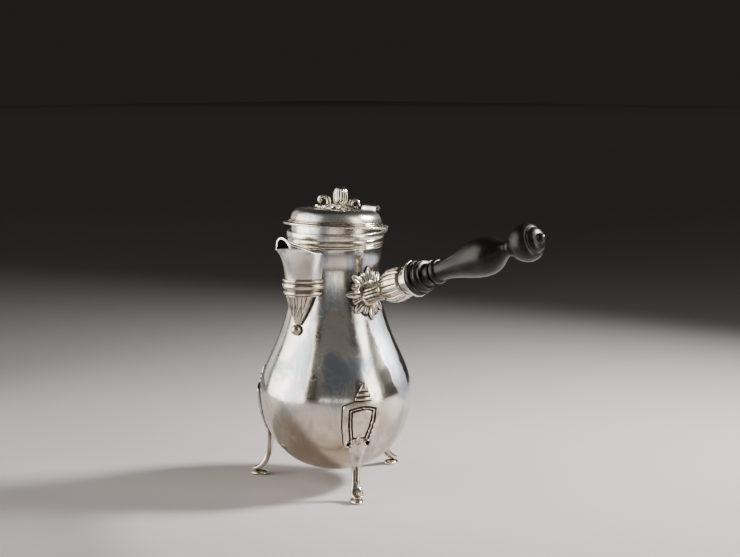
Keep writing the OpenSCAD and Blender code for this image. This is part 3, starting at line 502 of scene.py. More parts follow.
bandR, rimZ = body["bandR"], body["rimZ"]
rimLine = [(mouthR, bandZ), (bandR - 0.3, bandZ), (bandR, bandZ + 0.3), (bandR, rimZ - 0.6),
           (bandR - 0.2, rimZ - 0.15), (bandR - 0.6, rimZ), (mouthR, rimZ)]
makePiece("rim_strip", [turned(rimLine)], plainSilver, "pot", ["rim_band"], sharp=50)
secondZ = reedsZ + body["thinReed"]
neckLine = [(mouthR, reedsZ)] + bead(mouthR + 0.2, 0.7, reedsZ, secondZ) + bead(mouthR + 0.3, 0.8, secondZ, wideZ)
neckLine += bead(mouthR + 0.4, 1.1, wideZ, bandZ, 18) + [(mouthR, bandZ)]
makePiece("neck_reeds", [turned(neckLine)],
          chasedSilver, "pot", ["neck_moulding"], sharp=50, depth=0.15, rounds=3)
print("body built")

# Spout
spout = {
    "foot": 156.5, "lowW": 14.0, "topW": 18.0, "back": 31.0, "lip": 64.4, "lipZ": 194.9, "wall": 1.0,
    "crease": [(30, 189.5), (36, 189.8), (40, 190.8), (44, 193),
               (48, 194.4), (52, 195), (57, 195.3), (64.4, 194.9)],
    "ridge": [(30, 194.6), (36, 194.6), (40, 195.2), (44, 196.6),
              (48, 198.2), (52, 200.2), (55, 201.8), (57.6, 203.7)],
    "corner": 57.0, "lean": 1.6, "rim": 0.6,
}
spoutFront = curve((49.2, spout["foot"]), (50.4, 176), (53.5, 183.5), (spout["lip"] - 2.4, 192.8), 30)
spoutFront += [(spout["lip"] - 1.1, 193.5), (spout["lip"] - 0.4, 194.0),
               (spout["lip"], spout["lipZ"] - 0.2), (spout["lip"], spout["lipZ"])]
frontZ, frontY = [p[1] for p in spoutFront], [p[0] for p in spoutFront]


def spoutWidth(z):
    return mix(spout["lowW"], spout["topW"], max(0, min(1, (z - spout["foot"]) / (190 - spout["foot"]))))


def spoutPoint(a, z, inset):
    power = 2 / mix(2, 1.4, ease((z - 168) / (spout["lipZ"] - 168)))
    f = np.interp(z, frontZ, frontY) - inset
    w = spoutWidth(z) - inset
    c, s = math.cos(a), max(0.0, math.sin(a))
    return (-w * math.copysign(abs(c) ** power, c), -(spout["back"] + (f - spout["back"]) * s ** power), z)


def table(pairs, x):
    return float(np.interp(x, [p[0] for p in pairs], [p[1] for p in pairs]))


# Where the trough's edge meets the crease of the hood
def topHeight(a):
    z = spout["lipZ"]
    for _ in range(8):
        z = table(spout["crease"], -spoutPoint(a, z, 0)[1])
    return z


def cornerMiss(a):
    return abs(-spoutPoint(a, topHeight(a), 0)[1] - spout["corner"])


cornerAngle = min((i * 0.002 for i in range(700)), key=cornerMiss)
rightAngles = [cornerAngle * i / 26 for i in range(27)]
rightAngles += [mix(cornerAngle, math.pi / 2, i / 26) for i in range(1, 27)]
angles = rightAngles + [math.pi - a for a in reversed(rightAngles[:-1])]
tops = [topHeight(a) for a in angles]
share = [(z - spout["foot"]) / (spout["lipZ"] - spout["foot"]) for z in frontZ]
trough = [[spoutPoint(a, mix(spout["foot"], top, s), inset) for a, top in zip(angles, tops)]
          for inset in (0, spout["wall"]) for s in share]
half = len(trough) // 2
edge = trough[half - 1]
hoodRows = []
for inset in (0, spout["wall"]):
    rows = []
    for i in range(27):
        right, left = edge[i], edge[len(edge) - 1 - i]
        y = -right[1]
        lean = spout["lean"] * max(0, min(1, (y - 44) / 13))
        rows.append([(mix(right[0], left[0], 0.5 - 0.5 * math.cos(q)) * (1 - inset / abs(right[0])),
                      right[1] - lean * math.sin(q),
                      right[2] + (table(spout["ridge"], y) - right[2] - inset) * math.sin(q))
                     for q in halfTurn(32)])
    hoodRows.append(rows)
mouthEdge = hoodRows[0][-1] + list(reversed(edge[27:len(edge) - 27]))
mouthLine = [(x, y + spout["rim"], z) for x, y, z in mouthEdge]
makePiece("spout_sheet", [slab(trough[:half], trough[half:]), slab(hoodRows[0], hoodRows[1]),
                          rod(mouthLine, spout["rim"], 12, closed=True)],
          plainSilver, "pot", ["spout"], sharp=42)

reeds = {"wide": (162.0, 167.0), "low": (157.3, 160.9), "top": (167.2, 170.1)}
beltLine = [(0.4, 156.9)] + bead(0.9, 1.9, *reeds["low"], 12) + [(1.2, 161.4)]
beltLine += bead(1.3, 1.8, *reeds["wide"], 16) + bead(0.9, 1.3, *reeds["top"], 12) + [(0.3, 170.5)]


def beltPoint(a, out, z):
    f = np.interp(z, frontZ, frontY) + out
    w = spoutWidth(z) + out
    return (-w * math.cos(a), -(spout["back"] + (f - spout["back"]) * math.sin(a)), z)


beltAngles = halfTurn(72)
makePiece("spout_belt", [slab([[beltPoint(a, out, z) for a in beltAngles] for out, z in beltLine],
                              [[beltPoint(a, 0.0, z) for a in beltAngles] for out, z in beltLine])],
          chasedSilver, "pot", ["spout_reeds"], sharp=55, depth=0.25, rounds=5, seam=0.8)

drop = {
    "top": 156.6, "foot": 133.5, "width": (11.6, 3.2), "out": (11.6, 3.2),
    "leaves": 5, "relief": 1.5, "vein": (0.35, 0.13), "lowerVein": (0.3, 0.14),
}


# Relief of the upper leaves, and of the lower ones that show between their tips
def dropHeight(s, t):
    u = drop["leaves"] * (s + 1) / 2
    c = abs(2 * (u % 1) - 1)
    under = abs(2 * ((u + 0.5) % 1) - 1)
    reach = 1 - ease((t - 0.25) / 0.5)
    if c < reach:
        deep, wide = drop["vein"]
        return 1.1 * (1 - 0.75 * (c / reach) ** 2) - deep * math.exp(-(c / wide) ** 2)
    deep, wide = drop["lowerVein"]
    return 0.55 * (1 - under**2) - deep * math.exp(-(under / wide) ** 2) - 0.15


def dropPoint(s, t, sunk):
    w = mix(*drop["width"], t**1.25)
    out = mix(*drop["out"], t**1.1)
    if sunk:
        h = 0.0
    elif abs(s) > 1:
        h = 0.1
    else:
        h = 0.6 + out * math.sqrt(max(0, 1 - s * s)) + drop["relief"] * dropHeight(s, t) * (1 - 0.6 * t)
    z = mix(drop["top"], drop["foot"], t)
    x, y, top = onSkin(-90, s * w, z, h)
    return (x, y, min(top, mix(top, z, 1 - t)))


dropShare = [-1.1] + [j / 60 * 2 - 1 for j in range(61)] + [1.1]
dropRows = [i / 60 for i in range(60, -1, -1)]
makePiece("spout_drop", [slab([[dropPoint(s, t, False) for s in dropShare] for t in dropRows],
                              [[dropPoint(s, t, True) for s in dropShare] for t in dropRows])],
          chasedSilver, "pot", ["spout_leaves"], sharp=60, depth=0.09, rounds=7, seam=1.4)

pearl = {"r": 4.5, "z": 129.2, "out": 1.3}
pearlX, pearlY, pearlZ = onSkin(-90, 0, pearl["z"], pearl["out"])
pearlRings = [[(pearlX + pearl["r"] * math.sin(p) * math.cos(q), pearlY + pearl["r"] * math.sin(p) * math.sin(q),
                pearlZ + pearl["r"] * math.cos(p)) for q in around(48)] for p in halfTurn(28)]
makePiece("spout_pearl_ball", [{"rings": pearlRings, "closed": False}],
          chasedSilver, "pot", ["spout_pearl"], sharp=60, depth=1, seam=1.5)
print("spout built")

# Legs
leg = {
    "azimuths": {"leg_front": -30, "leg_left": -150, "leg_back": 90},
    "lean": {"leg_front": 5, "leg_left": 0, "leg_back": 0},      # degrees
    "leanZ": 20,                                                 # the height about which a leg leans
    "shieldTop": 94.0, "shieldFoot": 42.0, "halfWidth": 15.6, "seat": 0.1,
    "frameRise": 2.7, "grooveRise": 0.45, "filletRise": 2.0, "panelRise": 1.3,
    "frameWide": 4.6, "groove": 0.85, "fillet": 1.25, "neckAt": 0.71,
    "scrollAt": 6.9, "scrollZ": 45.4, "scrollR": 3.5,
    # distance from the axis, height, half width and half thickness at each station
    "stem": [(56.6, 48, 4.6, 1.1), (56, 43, 6.9, 1.6), (55.6, 37, 6.2, 1.9), (55.8, 31, 4.5, 2.1),
             (56.4, 25, 3.5, 2.2), (57.6, 19, 3.15, 2.3), (59.6, 13.6, 3.4, 2.35), (62.2, 9.4, 4.2, 2.3),
             (65.4, 6.9, 4.9, 2.1), (68.6, 5.7, 4.6, 1.7), (70.8, 5.2, 3.3, 1.2), (71.8, 5.1, 1.4, 0.6)],
    "flute": 0.4,
    "soleAt": 66.1, "sole": (6.9, 5.2, 2.7), "soleZ": 1.25,
    "tongueAt": 65.6, "tongue": (5.2, 3.1, 1.9), "tongueZ": 6.9, "tongueDip": 1.7,
    # height, half width and rise of the small leaf between the scrolls
    "budLeaf": [(41.6, 1.3, 2.2), (43.8, 2.1, 3.2), (46.6, 2.5, 3.9), (49.4, 1.7, 3.5), (52.0, 0.4, 2.2)],
}
# Shares of the shield's height against shares of its half width, and against the rise of its crest
shieldEdge = [(0, 0.60), (0.05, 0.71), (0.178, 0.82), (0.29, 0.91), (0.38, 0.95), (0.49, 0.985),
              (0.617, 1.0), (0.646, 0.97), (0.673, 0.80), (0.696, 0.54), (0.707, 0.455), (0.763, 0.425),
              (0.775, 0.37), (0.831, 0.31), (0.842, 0.26), (0.9, 0.18), (0.944, 0.09), (0.97, 0.02)]
crestRise = [(0.7, 2.7), (0.706, 1.4), (0.712, 1.4), (0.72, 2.9), (0.75, 3.1), (0.763, 2.7),
             (0.768, 1.5), (0.774, 1.5), (0.784, 2.9), (0.815, 3.3), (0.83, 2.8), (0.836, 1.6),
             (0.843, 1.6), (0.853, 2.9), (0.89, 3.5), (0.93, 3.2), (0.955, 2.4), (0.97, 1.2)]
shieldSpan = leg["shieldTop"] - leg["shieldFoot"]
borderLine = [(0, -1.0)]
borderLine += [(leg["halfWidth"] * w, t * shieldSpan) for t, w in shieldEdge if t <= leg["neckAt"]]
borderLine += [(0, leg["neckAt"] * shieldSpan + 0.6)]


# Distance from a point on the shield to its outline
def toBorder(u, v):
    nearest = 99.0
    for (ax, ay), (bx, by) in zip(borderLine, borderLine[1:]):
        dx, dy = bx - ax, by - ay
        t = max(0, min(1, ((u - ax) * dx + (v - ay) * dy) / (dx * dx + dy * dy)))
        nearest = min(nearest, math.hypot(u - ax - t * dx, v - ay - t * dy))
    return nearest


# Rise of the shield: frame, groove, fillet, groove and panel from the edge inwards, and the crest above
def shieldRise(s, t):
    if abs(s) > 1:
        return 0.0
    u, v = abs(s) * leg["halfWidth"] * table(shieldEdge, t), t * shieldSpan
    if math.hypot(u - leg["scrollAt"], v - leg["scrollZ"] + leg["shieldFoot"]) < leg["scrollR"] - 0.6:
        return leg["grooveRise"]
    roundEdge = math.sqrt(max(0, 1 - max(0, (abs(s) - 0.93) / 0.07) ** 2))
    if t > 0.7:
        return table(crestRise, t) * (0.45 + 0.55 * math.sqrt(max(0, 1 - s * s)))
    d = toBorder(u, v)
    wide, groove, fillet = leg["frameWide"], leg["groove"], leg["fillet"]
    if d < wide:
        return mix(leg["frameRise"] * (0.55 + 0.45 * roundEdge), leg["grooveRise"], ease((d - wide + 0.45) / 0.45))
    if d < wide + groove:
        return leg["grooveRise"]
    if d < wide + groove + fillet:
        x = (d - wide - groove) / fillet
        return mix(leg["grooveRise"], leg["filletRise"], min(1, 2.6 * math.sin(math.pi * x)))
    if d < wide + 2 * groove + fillet:
        return leg["grooveRise"]
    return mix(leg["grooveRise"], leg["panelRise"], ease((d - wide - 2 * groove - fillet) / 0.5))


shieldShare = {round(math.copysign(1 - (1 - abs(j / 46)) ** 1.15, j), 4) for j in range(-46, 47)}
shieldShare = sorted(shieldShare | {-1.06, -1.001, 1.001, 1.06})
crestRows = {0.703, 0.709, 0.716, 0.7655, 0.771, 0.779, 0.833, 0.84, 0.848}
shieldRows = sorted({0.97 * i / 100 for i in range(101)} | crestRows)
shieldGrid = [[shieldRise(s, t) for s in shieldShare] for t in shieldRows]


# Shield, stem, sole, tongue, two scrolls and the leaf between them
def legShells(azimuth, lean):
    turn = Matrix.Rotation(math.radians(azimuth), 4, "Z")

    def aside(z):
        return (z - leg["leanZ"]) * math.tan(math.radians(lean))

    def onBelly(u, z, h):
        return onSkin(azimuth, u + aside(z), z, h)

    def outwards(x, y, z):
        return tuple(turn @ Vector((x, y + aside(z), z)))

    upper, lower = [], []
    for t, row in zip(shieldRows, shieldGrid):
        z, wide = leg["shieldFoot"] + t * shieldSpan, leg["halfWidth"] * table(shieldEdge, t)
        upper.append([onBelly(s * wide, z, leg["seat"] + h) for s, h in zip(shieldShare, row)])
        lower.append([onBelly(s * wide, z, -0.3) for s in shieldShare])
    shells = [slab(upper, lower)]
    stations = through(leg["stem"], 7)
    rings = []
    for i, (out, z, wide, thick) in enumerate(stations):
        a, b = stations[max(0, i - 1)], stations[min(len(stations) - 1, i + 1)]
        length = math.hypot(b[0] - a[0], b[1] - a[1])
        tx, tz = (b[0] - a[0]) / length, (b[1] - a[1]) / length
        flute = leg["flute"] * ease((30 - z) / 6) * ease((z - 11) / 4)
        ring = []
        for q in around(40):
            c = thick * math.copysign(abs(math.cos(q)) ** 0.8, math.cos(q))
            s = wide * math.copysign(abs(math.sin(q)) ** 0.8, math.sin(q))
            if math.cos(q) < 0:
                c += flute * math.exp(-(s / (0.42 * wide)) ** 2)
            ring.append(outwards(out + tz * c, -s, z - tx * c))
        rings.append(ring)
    shells.append({"rings": rings, "closed": False})
    long, wide, tall = leg["sole"]
    soleRings = [[outwards(leg["soleAt"] + long * math.sin(p) * math.cos(q), wide * math.sin(p) * math.sin(q),
                           max(0.0, leg["soleZ"] + tall * math.cos(p))) for q in around(40)] for p in halfTurn(20)]
    shells.append({"rings": soleRings, "closed": False})
    long, wide, tall = leg["tongue"]
    tongueRings = [[outwards(leg["tongueAt"] + long * math.cos(p),
                             wide * math.sin(p) * math.cos(q) * (1 + 0.25 * math.cos(p)),
                             leg["tongueZ"] - leg["tongueDip"] * math.cos(p) + tall * math.sin(p) * math.sin(q))
                    for q in around(32)] for p in halfTurn(18)]
    shells.append({"rings": tongueRings, "closed": False})
    r = leg["scrollR"]
    profile = [(r, -0.6), (r, 2.0), (r - 0.3, 2.7), (r - 0.8, 3.0), (r - 1.2, 2.7), (r - 1.45, 1.8),
               (r - 1.55, -0.1), (0.2, -0.2), (0.2, -0.6)]
    for side in (-1, 1):
        base = Vector(onBelly(side * leg["scrollAt"], leg["scrollZ"], 0.6))
        out = (Vector(onBelly(side * leg["scrollAt"], leg["scrollZ"], 1.6)) - base).normalized()
        across = Vector((0, 0, 1)).cross(out).normalized()
        up = out.cross(across)
        scrollRings = [[tuple(base + out * h + wide * (math.cos(q) * across + math.sin(q) * up))
                        for q in around(36)] for wide, h in profile]
        shells.append({"rings": scrollRings, "closed": True})
    stations = through(leg["budLeaf"], 6)
    share = [j / 10 for j in range(-10, 11)]
    top = [[onBelly(s * w, z, h * (1 - 0.4 * s * s) - 0.55 * math.exp(-(s / 0.16) ** 2)) for s in share]
           for z, w, h in stations]
    foot = [[onBelly(s * w, z, 0.2) for s in share] for z, w, h in stations]
    shells.append(slab(top, foot))
    return shells


for name, azimuth in leg["azimuths"].items():
    makePiece(name.replace("leg", "cast_leg"), legShells(azimuth, leg["lean"][name]),
              chasedSilver, "pot", [name], sharp=55, depth=0.14, rounds=7, seam=1.25)
print("legs built")

# Rosette and socket
rosette = {
    "z": 158.0, "hole": 8.6, "count": 8,
    "pointed": 21.0, "pointedWide": 3.15, "pointedLift": 2.3,
    "square": 18.6, "squareWide": 2.45, "squareLift": 1.5,
    # radius and rise of the ring that the leaves spring from
    "plate": [(7.2, 2.6), (9, 2.9), (10.2, 2.0), (11.2, 0.7), (12.4, 0.3), (12.5, -0.2), (7.2, -0.2)],
}


def rosettePoint(out, along, turn, h):
    x = out * math.cos(turn) - along * math.sin(turn)
    y = out * math.sin(turn) + along * math.cos(turn)
    return onSkin(0, x, rosette["z"] + y, h)


# One leaf that stands out from the ring, with a groove down its middle
def rosetteLeaf(turn, kind):
    pointed = kind == "pointed"
    reach, wide = rosette[kind], rosette[kind + "Wide"]
    share = [-1.3, -1.01] + [j / 12 for j in range(-12, 13)] + [1.01, 1.3]
    upper, lower = [], []
    for i in range(34):
        t = min(1, i / 32)
        if pointed:
            tip = max(0, (t - 0.5) / 0.5)
            w = wide * (0.45 + 0.55 * ease(t / 0.5)) * math.sqrt(max(0.0, 1 - tip**1.7)) + 0.05
        else:
            w = wide * (0.5 + 0.5 * ease(t / 0.6)) * (1 - 0.35 * max(0, (t - 0.9) / 0.1) ** 2)
        out = mix(rosette["hole"] - 1.5, reach, i / 32)
        lift = rosette[kind + "Lift"] + 0.9 * math.sin(math.pi * min(1, t * 1.1)) - 0.9 * t**3
        row, base = [], []
        for s in share:
            h = lift * (1 - 0.28 * s * s) - 0.75 * math.exp(-(s / 0.15) ** 2) * (1 - t**4) * ease(t * 5)
            if abs(s) > 0.99:
                h = min(h, lift * 0.55)
            if abs(s) > 1 or i > 32:
                h = 0.08
            row.append(rosettePoint(out, s * w, turn, h))
            base.append(rosettePoint(out, s * w, turn, -0.2))
        upper.append(row)
        lower.append(base)
    return slab(upper, lower)


step = 2 * math.pi / rosette["count"]
rosetteShells = [rosetteLeaf(k * step, "pointed") for k in range(rosette["count"])]
rosetteShells += [rosetteLeaf((k + 0.5) * step, "square") for k in range(rosette["count"])]
plateRings = [[rosettePoint(r, 0, -q, h) for q in around(96)] for r, h in rosette["plate"]]
rosetteShells.append({"rings": plateRings, "closed": True})
makePiece("root_rosette", rosetteShells, chasedSilver, "pot", ["handle_rosette"],
          sharp=55, depth=0.16, rounds=8, seam=1.8)

socket = {
    "axisZ": 144.5,                      # where the handle's line meets the pot's axis
    "end": 90.3, "ring": 1.7, "leaves": 8, "bore": 7.63, "boreStart": 60.0, "cols": 176,
    # distance along the handle and radius
    "line": [(35.5, 8.9), (38, 8.5), (42, 7.8), (46, 7.4), (50, 7.5), (54, 8.1), (57, 8.8), (60, 9.7),
             (63, 11.1), (66, 12.0), (69, 12.45), (72, 12.4), (75, 12.0), (78, 11.4), (80.5, 10.9),
             (81.3, 10.6), (81.7, 10.1), (82.3, 10.2), (83.4, 10.5), (88, 10.7), (89.6, 10.8), (90.3, 10.5)],
    # height or depth of the relief
    "flute": 0.22, "leaf": 0.95, "cleft": 0.45, "backLeaf": 0.5, "backCleft": 0.3, "edge": 0.45, "ground": 0.4,
}
turnDown = Matrix.Rotation(math.radians(90 - handleSlope), 4, "Y")
onHandle = Matrix.Translation(Vector((0, 0, socket["axisZ"])) * mm) @ turnDown
socketT, socketR = [p[0] for p in socket["line"]], [p[1] for p in socket["line"]]


# Two rows of pointed leaves on the bulb, each with a cleft in the middle, and flutes down the throat
def chase(t, angle):
    n = socket["leaves"]
    u = abs(((angle * n / (2 * math.pi)) % 1) - 0.5) * 2
    v = 1 - u
    flutes = socket["flute"] * math.cos(angle * 16) * ease((t - 39) / 3) * (1 - ease((t - 54) / 4))
    if t < 56 or t > 81.2:
        return flutes
    fade = ease((81.3 - t) / 1.6)
    width = 0.98 * (ease((t - 57) / 8) ** 0.8)
    backWidth = 0.8 * (ease((t - 63) / 6) ** 0.8)
    height = flutes
    if v < backWidth:
        leaf = socket["backLeaf"] * ease((backWidth - v) * 6) - socket["backCleft"] * math.exp(-(v / 0.1) ** 2)
        height = max(height, leaf * fade)
    if u < width:
        leaf = socket["leaf"] * ease((width - u) * 6) - socket["cleft"] * math.exp(-(u / 0.09) ** 2)
        height = leaf * fade
    elif v < backWidth and u < width + 0.1:
        height = -socket["edge"] * fade
    elif t > 58:
        height = height - socket["ground"] * fade * ease((t - 58) / 2)
    return height


socketRows = [mix(35.5, 56, i / 24) for i in range(24)] + [mix(56, 82.4, i / 84) for i in range(84)]
socketRows += [mix(82.4, socket["end"], i / 12) for i in range(13)]
outer = []
for t in socketRows:
    ring = []
    for q in around(socket["cols"]):
        r = float(np.interp(t, socketT, socketR)) + chase(t, q)
        ring.append((r * math.cos(q), r * math.sin(q), t))
    outer.append(ring)
boreLine = [(socket["bore"], socket["end"]), (socket["bore"], socket["boreStart"]), (0.4, socket["boreStart"])]
inner = [[(r * math.cos(q), r * math.sin(q), t) for q in around(socket["cols"])] for r, t in boreLine]
makePiece("handle_cup", [{"rings": outer + inner, "closed": False}], chasedSilver, "pot",
          ["handle_socket"], place=onHandle, sharp=60, depth=0.075, rounds=6)
t0 = socket["end"] + socket["ring"]
makePiece("cup_ring", [turned([(7.8, socket["end"])] + bead(13.65, 0.6, socket["end"], t0) + [(7.8, t0)], 128)],
          plainSilver, "pot", ["socket_ring"], place=onHandle)
print("socket built")

# Wooden handle
grip = {
    "radius": 14.5, "knob": 14.0, "spigot": 7.6,
    # radius of the collar, and distance past the silver ring
    "collarLine": [(13.1, 0.02), (13.5, 0.2), (13.7, 0.6), (13.75, 1.6), (13.7, 2.7), (13.4, 3.2),
                   (12.6, 3.6), (11.5, 3.8), (11.2, 4.3), (11.2, 5.3)],
}
spigotFoot = socket["boreStart"] + 1.5
gripLine = [(0, spigotFoot), (grip["spigot"] - 0.4, spigotFoot), (grip["spigot"], socket["boreStart"] + 2),
            (grip["spigot"], t0)]
gripLine += [(r, t0 + t) for r, t in grip["collarLine"]]
gripR, knobR = grip["radius"], grip["knob"]
gripLine += bead(11.2, 1.25, t0 + 5.5, t0 + 9.3, 16) + [(10.8, t0 + 9.7), (10.8, t0 + 11.7)]
gripLine += bead(9.4, -1.9, t0 + 12.1, t0 + 19.5, 24) + bead(7.9, 1.65, t0 + 19.8, t0 + 25.2, 18)
gripLine += curve((7.5, t0 + 27.0), (8, t0 + 44), (gripR + 0.3, t0 + 56), (gripR, t0 + 70), 44)
gripLine += curve((gripR, t0 + 70), (gripR - 0.2, t0 + 82), (6.6, t0 + 84), (5.4, t0 + 92), 34)[1:]
gripLine += bead(5.1, 0.95, t0 + 92.5, t0 + 96.6, 14)
gripLine += curve((5.2, t0 + 97), (7.5, t0 + 97.6), (knobR - 0.4, t0 + 102), (knobR, t0 + 109.5), 26)
gripLine += curve((knobR, t0 + 109.5), (knobR, t0 + 113), (12.8, t0 + 115.6), (10.2, t0 + 116.4), 20)[1:]
gripLine += [(9.9, t0 + 116.7), (9.7, t0 + 117.3)]
gripLine += curve((9.4, t0 + 117.4), (9, t0 + 119.4), (7, t0 + 120.8), (4.0, t0 + 121.2), 12)
gripLine += [(3.7, t0 + 121.4)]
gripLine += curve((3.6, t0 + 121.6), (3.6, t0 + 123.6), (2.4, t0 + 125), (0, t0 + 125.2), 12)
gripShell = turned(gripLine, 160)
gripShell["closed"] = False
makePiece("wood_handle", [gripShell], blackWood, "pot", ["handle_grip"], place=onHandle, sharp=50)
print("handle built")

# Lid
lid = {
    "ajar": 3.9,                         # degrees open, as in the photograph
    "hingeY": 44.8, "hingeDrop": 1.6, "gap": 0.3, "flangeR": 41.9, "flangeT": 1.9, "flangeInnerR": 34.4,
    "domeR": 36.6, "crownR": 27.5, "crownH": 13.6, "hole": 8.0,
    "bezelR": 35.2, "bezelInnerR": 34.3, "bezelH": 7.2,
    "hingeWide": 26.0, "thumbTop": 15.5, "thumbT": 1.1, "strapT": 1.2,
}
hinge = Vector((0, lid["hingeY"], rimZ - lid["hingeDrop"])) * mm
tipUp = Matrix.Rotation(math.radians(-lid["ajar"]), 4, "X")
onLid = Matrix.Translation(hinge) @ tipUp @ Matrix.Translation(-hinge)
underZ = rimZ + lid["gap"]
flangeZ = underZ + lid["flangeT"]
crownZ = rimZ + lid["crownH"]
edgeR = lid["flangeT"] / 2
domeLine = curve((lid["domeR"], flangeZ), (lid["domeR"] - 0.4, flangeZ + 5.4),
                 (35, crownZ - 0.5), (lid["crownR"], crownZ), 48)
domeLine += [(mix(lid["crownR"], lid["hole"], i / 10), crownZ + 0.25 * math.sin(math.pi * i / 20))
             for i in range(1, 11)]
innerDome = [(max(lid["hole"], r), z) for r, z in reversed(inside(domeLine, 1.0))]
lidLine = [(lid["flangeInnerR"], underZ)] + bead(lid["flangeR"] - edgeR, edgeR, underZ, flangeZ, 14)
lidLine += domeLine + innerDome + [(lid["domeR"] - 1, flangeZ - 0.6), (lid["flangeInnerR"], flangeZ - 0.6)]
makePiece("lid_dome", [turned(lidLine, 224)], lidSilver, "lid", ["lid_shell"], place=onLid, sharp=45)
domeReeds = [(lid["domeR"] + 0.1, flangeZ)] + bead(lid["domeR"] + 0.9, 1.1, flangeZ, flangeZ + 1.4)
domeReeds += bead(lid["domeR"] + 0.6, 0.6, flangeZ + 1.4, flangeZ + 2.4) + [(lid["domeR"] - 0.1, flangeZ + 2.6)]
makePiece("dome_reeds", [turned(domeReeds)], chasedSilver, "lid", ["lid_moulding"],
          place=onLid, sharp=60, depth=0.2, rounds=3)
bezelR, bezelInnerR, bezelZ = lid["bezelR"], lid["bezelInnerR"], underZ - lid["bezelH"]
collarLine = [(bezelInnerR, underZ), (bezelR, underZ), (bezelR, bezelZ + 1), (bezelR - 0.1, bezelZ + 0.3),
              (bezelR - 0.4, bezelZ), (bezelInnerR, bezelZ)]
makePiece("lid_collar", [turned(collarLine)], plainSilver, "lid", ["lid_bezel"], place=onLid)

thumbLine = through([(41.0, flangeZ + lid["strapT"] - 0.1), (39.5, flangeZ + 2.4), (38.8, flangeZ + 4.2),
                     (38.4, rimZ + 8), (37.9, rimZ + 11), (37.6, rimZ + 13.4), (38.2, rimZ + 15.5),
                     (39.7, rimZ + 16.7), (41.3, rimZ + 16.1), (42.0, rimZ + 14.6), (41.4, rimZ + 13.4)], 6)
thumbShare = [j / 16 for j in range(-16, 17)]


# One row across the thumbpiece, wrapped round the dome at its foot
def thumbRow(i, h):
    n = len(thumbLine) - 1
    a, b = thumbLine[max(0, i - 1)], thumbLine[min(n, i + 1)]
    length = math.hypot(b[0] - a[0], b[1] - a[1])
    y = thumbLine[i][0] + h * (b[1] - a[1]) / length
    z = thumbLine[i][1] - h * (b[0] - a[0]) / length
    wide = mix(lid["hingeWide"] / 2 - 1, lid["thumbTop"] / 2, ease(i / (0.4 * n)))
    wrap = 1 - ease((i / n - 0.3) / 0.3)
    return [(s * wide, y - wrap * (y - math.sqrt(y * y - (s * wide) ** 2)), z) for s in thumbShare]


front = [thumbRow(i, lid["thumbT"] / 2) for i in range(len(thumbLine))]
back = [thumbRow(i, -lid["thumbT"] / 2) for i in range(len(thumbLine))]
makePiece("thumb_lever", [slab(front, back)], plainSilver, "lid", ["thumbpiece"],
          place=onLid, sharp=60)
print("lid built")

# Finial
finial = {
    "reach": 17.5, "leaves": 7, "leafZ": crownZ + 1.5,
    "notch": (125, 30), "notchR": 8.4,   # degrees, and the leaves' reach there
    "plateR": 11, "cols": 420,
    "fruitAt": (2.2, 2.0), "fruitR": 6.3, "fruitFoot": 2.0, "fruitTop": 32.1,
    "stalk": [(-4.4, -4.2, 2.2), (-4.8, -4.6, 5.6), (-6.0, -5.7, 7.6), (-7.9, -7.5, 8.0),
              (-9.5, -9.0, 6.7), (-9.7, -9.2, 4.7), (-8.7, -8.3, 3.6)],
    "stalkThick": (2.3, 1.9),
    "curl": [(7.6, 7.2, 2.0), (8.3, 7.9, 4.9), (9.7, 9.2, 6.2), (11.4, 10.8, 5.8),
             (12.6, 11.9, 4.0), (13.1, 12.4, 1.6)],
    "curlThick": (2.1, 1.2),
}
leafZ = finial["leafZ"]


def leafReach(a):
    k = abs(math.cos(finial["leaves"] * (a + math.pi) / 2))
    notch = ease((abs(math.degrees(a)) - finial["notch"][0]) / finial["notch"][1])
    ragged = 0.35 * math.cos(a * 23) + 0.25 * math.cos(a * 41 + 1)
    return mix(finial["reach"] * (0.66 + 0.32 * k**0.7) + ragged * 0.6, finial["notchR"], notch)


def leafRise(s, a):
    k = abs(math.cos(finial["leaves"] * (a + math.pi) / 2))
    vein = 0.55 * math.exp(-(math.sin(finial["leaves"] * (a + math.pi) / 2) ** 2) / 0.02) * s
    fold = 0.5 * math.cos(finial["leaves"] * 3 * a) + 0.22 * math.cos(finial["leaves"] * 7 * a + 0.6)
    return 1.9 * (1 - s * s) + 0.6 + 0.8 * k * s * (1 - 0.5 * s) + fold * s - vein


turnsRound = [math.pi - q for q in around(finial["cols"])]
leafRings = [0.12, 0.2, 0.3, 0.4, 0.5, 0.6, 0.7, 0.78, 0.86, 0.93, 0.97, 1.0]


def leafLayer(rise):
    return [[(s * leafReach(a) * math.cos(a), s * leafReach(a) * math.sin(a), leafZ + rise(s, a))
             for a in turnsRound] for s in leafRings]


# Flat over the plate, and drooping a little beyond it
def leafUnder(s, a):
    if s * leafReach(a) < finial["plateR"]:
        return 0.05
    return max(-0.6 * ease((leafReach(a) - 13.4) / 2), leafRise(s, a) - 1.1)


makePiece("leafy_terrace", [disc(leafLayer(leafRise), leafLayer(leafUnder))],
          chasedSilver, "finial", ["finial_leaves"], place=onLid, sharp=60, depth=0.2, rounds=8)

fruitZ = leafZ + finial["fruitFoot"]
tall = rimZ + finial["fruitTop"] - fruitZ
fx, fy = finial["fruitAt"]
fr = finial["fruitR"]
fruitLine = curve((fr * 0.7, 0), (fr * 1.06, tall * 0.12), (fr * 1.08, tall * 0.55), (fr * 0.8, tall * 0.8), 30)
fruitLine += curve((fr * 0.8, tall * 0.8), (fr * 0.64, tall * 0.93), (fr * 0.3, tall), (fr * 0.05, tall), 16)[1:]


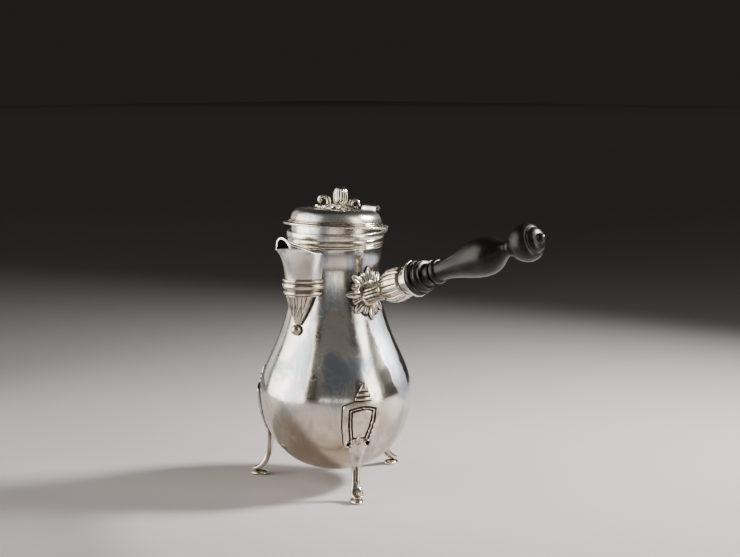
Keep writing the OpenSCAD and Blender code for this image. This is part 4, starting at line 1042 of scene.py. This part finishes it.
# Fine creases between the bud's wrapped leaves, deeper where two of them part
def creased(q, t):
    fine = 0.06 * abs(math.sin(6.5 * q + 0.5 * t)) ** 8
    parted = 0.12 * math.exp(-((q - math.radians(252 + 26 * t)) / 0.09) ** 2) * ease((0.85 - t) / 0.3)
    return 1 - fine * min(1, (1.04 - t) * 4) - parted


fruitRings = [[(fx + r * creased(q, z / tall) * math.cos(q), fy + r * creased(q, z / tall) * math.sin(q), fruitZ + z)
               for q in around(180)] for r, z in fruitLine]
makePiece("ribbed_fruit", [{"rings": fruitRings, "closed": False}], chasedSilver, "finial",
          ["finial_fruit"], place=onLid, sharp=60, depth=0.12, rounds=6)


# A tapering rod through a few points over the terrace
def curled(name, part, node):
    line = [(x, y, leafZ + z) for x, y, z in through(finial[part], 6)]
    thick = [mix(*finial[part + "Thick"], i / (len(line) - 1)) for i in range(len(line))]
    makePiece(name, [rod(line, thick, 20)], chasedSilver, "finial", [node],
              place=onLid, sharp=60, depth=0.4, rounds=5)


curled("curled_stalk", "stalk", "finial_stalk")
curled("curled_leaf", "curl", "finial_curl")
print("finial built")

# Small parts kept from the CAD
for name in ("hinge_bracket", "hinge_pin", "handle_pin", "lid_strap", "finial_rivet", "rivet_burr", "finial_plate"):
    nodes[name].data.materials.clear()
    nodes[name].data.materials.append(plainSilver)

# Floor
floorLook = {"size": 30.0, "colour": (0.505, 0.472, 0.47), "roughness": 0.62}
floorFinish = Finish("floor")
speck = floorFinish.noise(6, 3)
paler = tuple(c * 1.05 for c in floorLook["colour"])
floorFinish.set(Base_Color=floorFinish.blend(speck, floorLook["colour"], paler),
                Roughness=floorLook["roughness"], Normal=floorFinish.bump(floorFinish.noise(900, 3), 0.00005))
floorMesh = bpy.data.meshes.new("floor")
half = floorLook["size"] / 2
corners = [(-half, -half, 0), (half, -half, 0), (half, half, 0), (-half, half, 0)]
floorMesh.from_pydata(corners, [], [(0, 1, 2, 3)])
floorMesh.materials.append(floorFinish.material)
floor = bpy.data.objects.new("floor", floorMesh)
bpy.context.scene.collection.objects.link(floor)
print("floor laid")
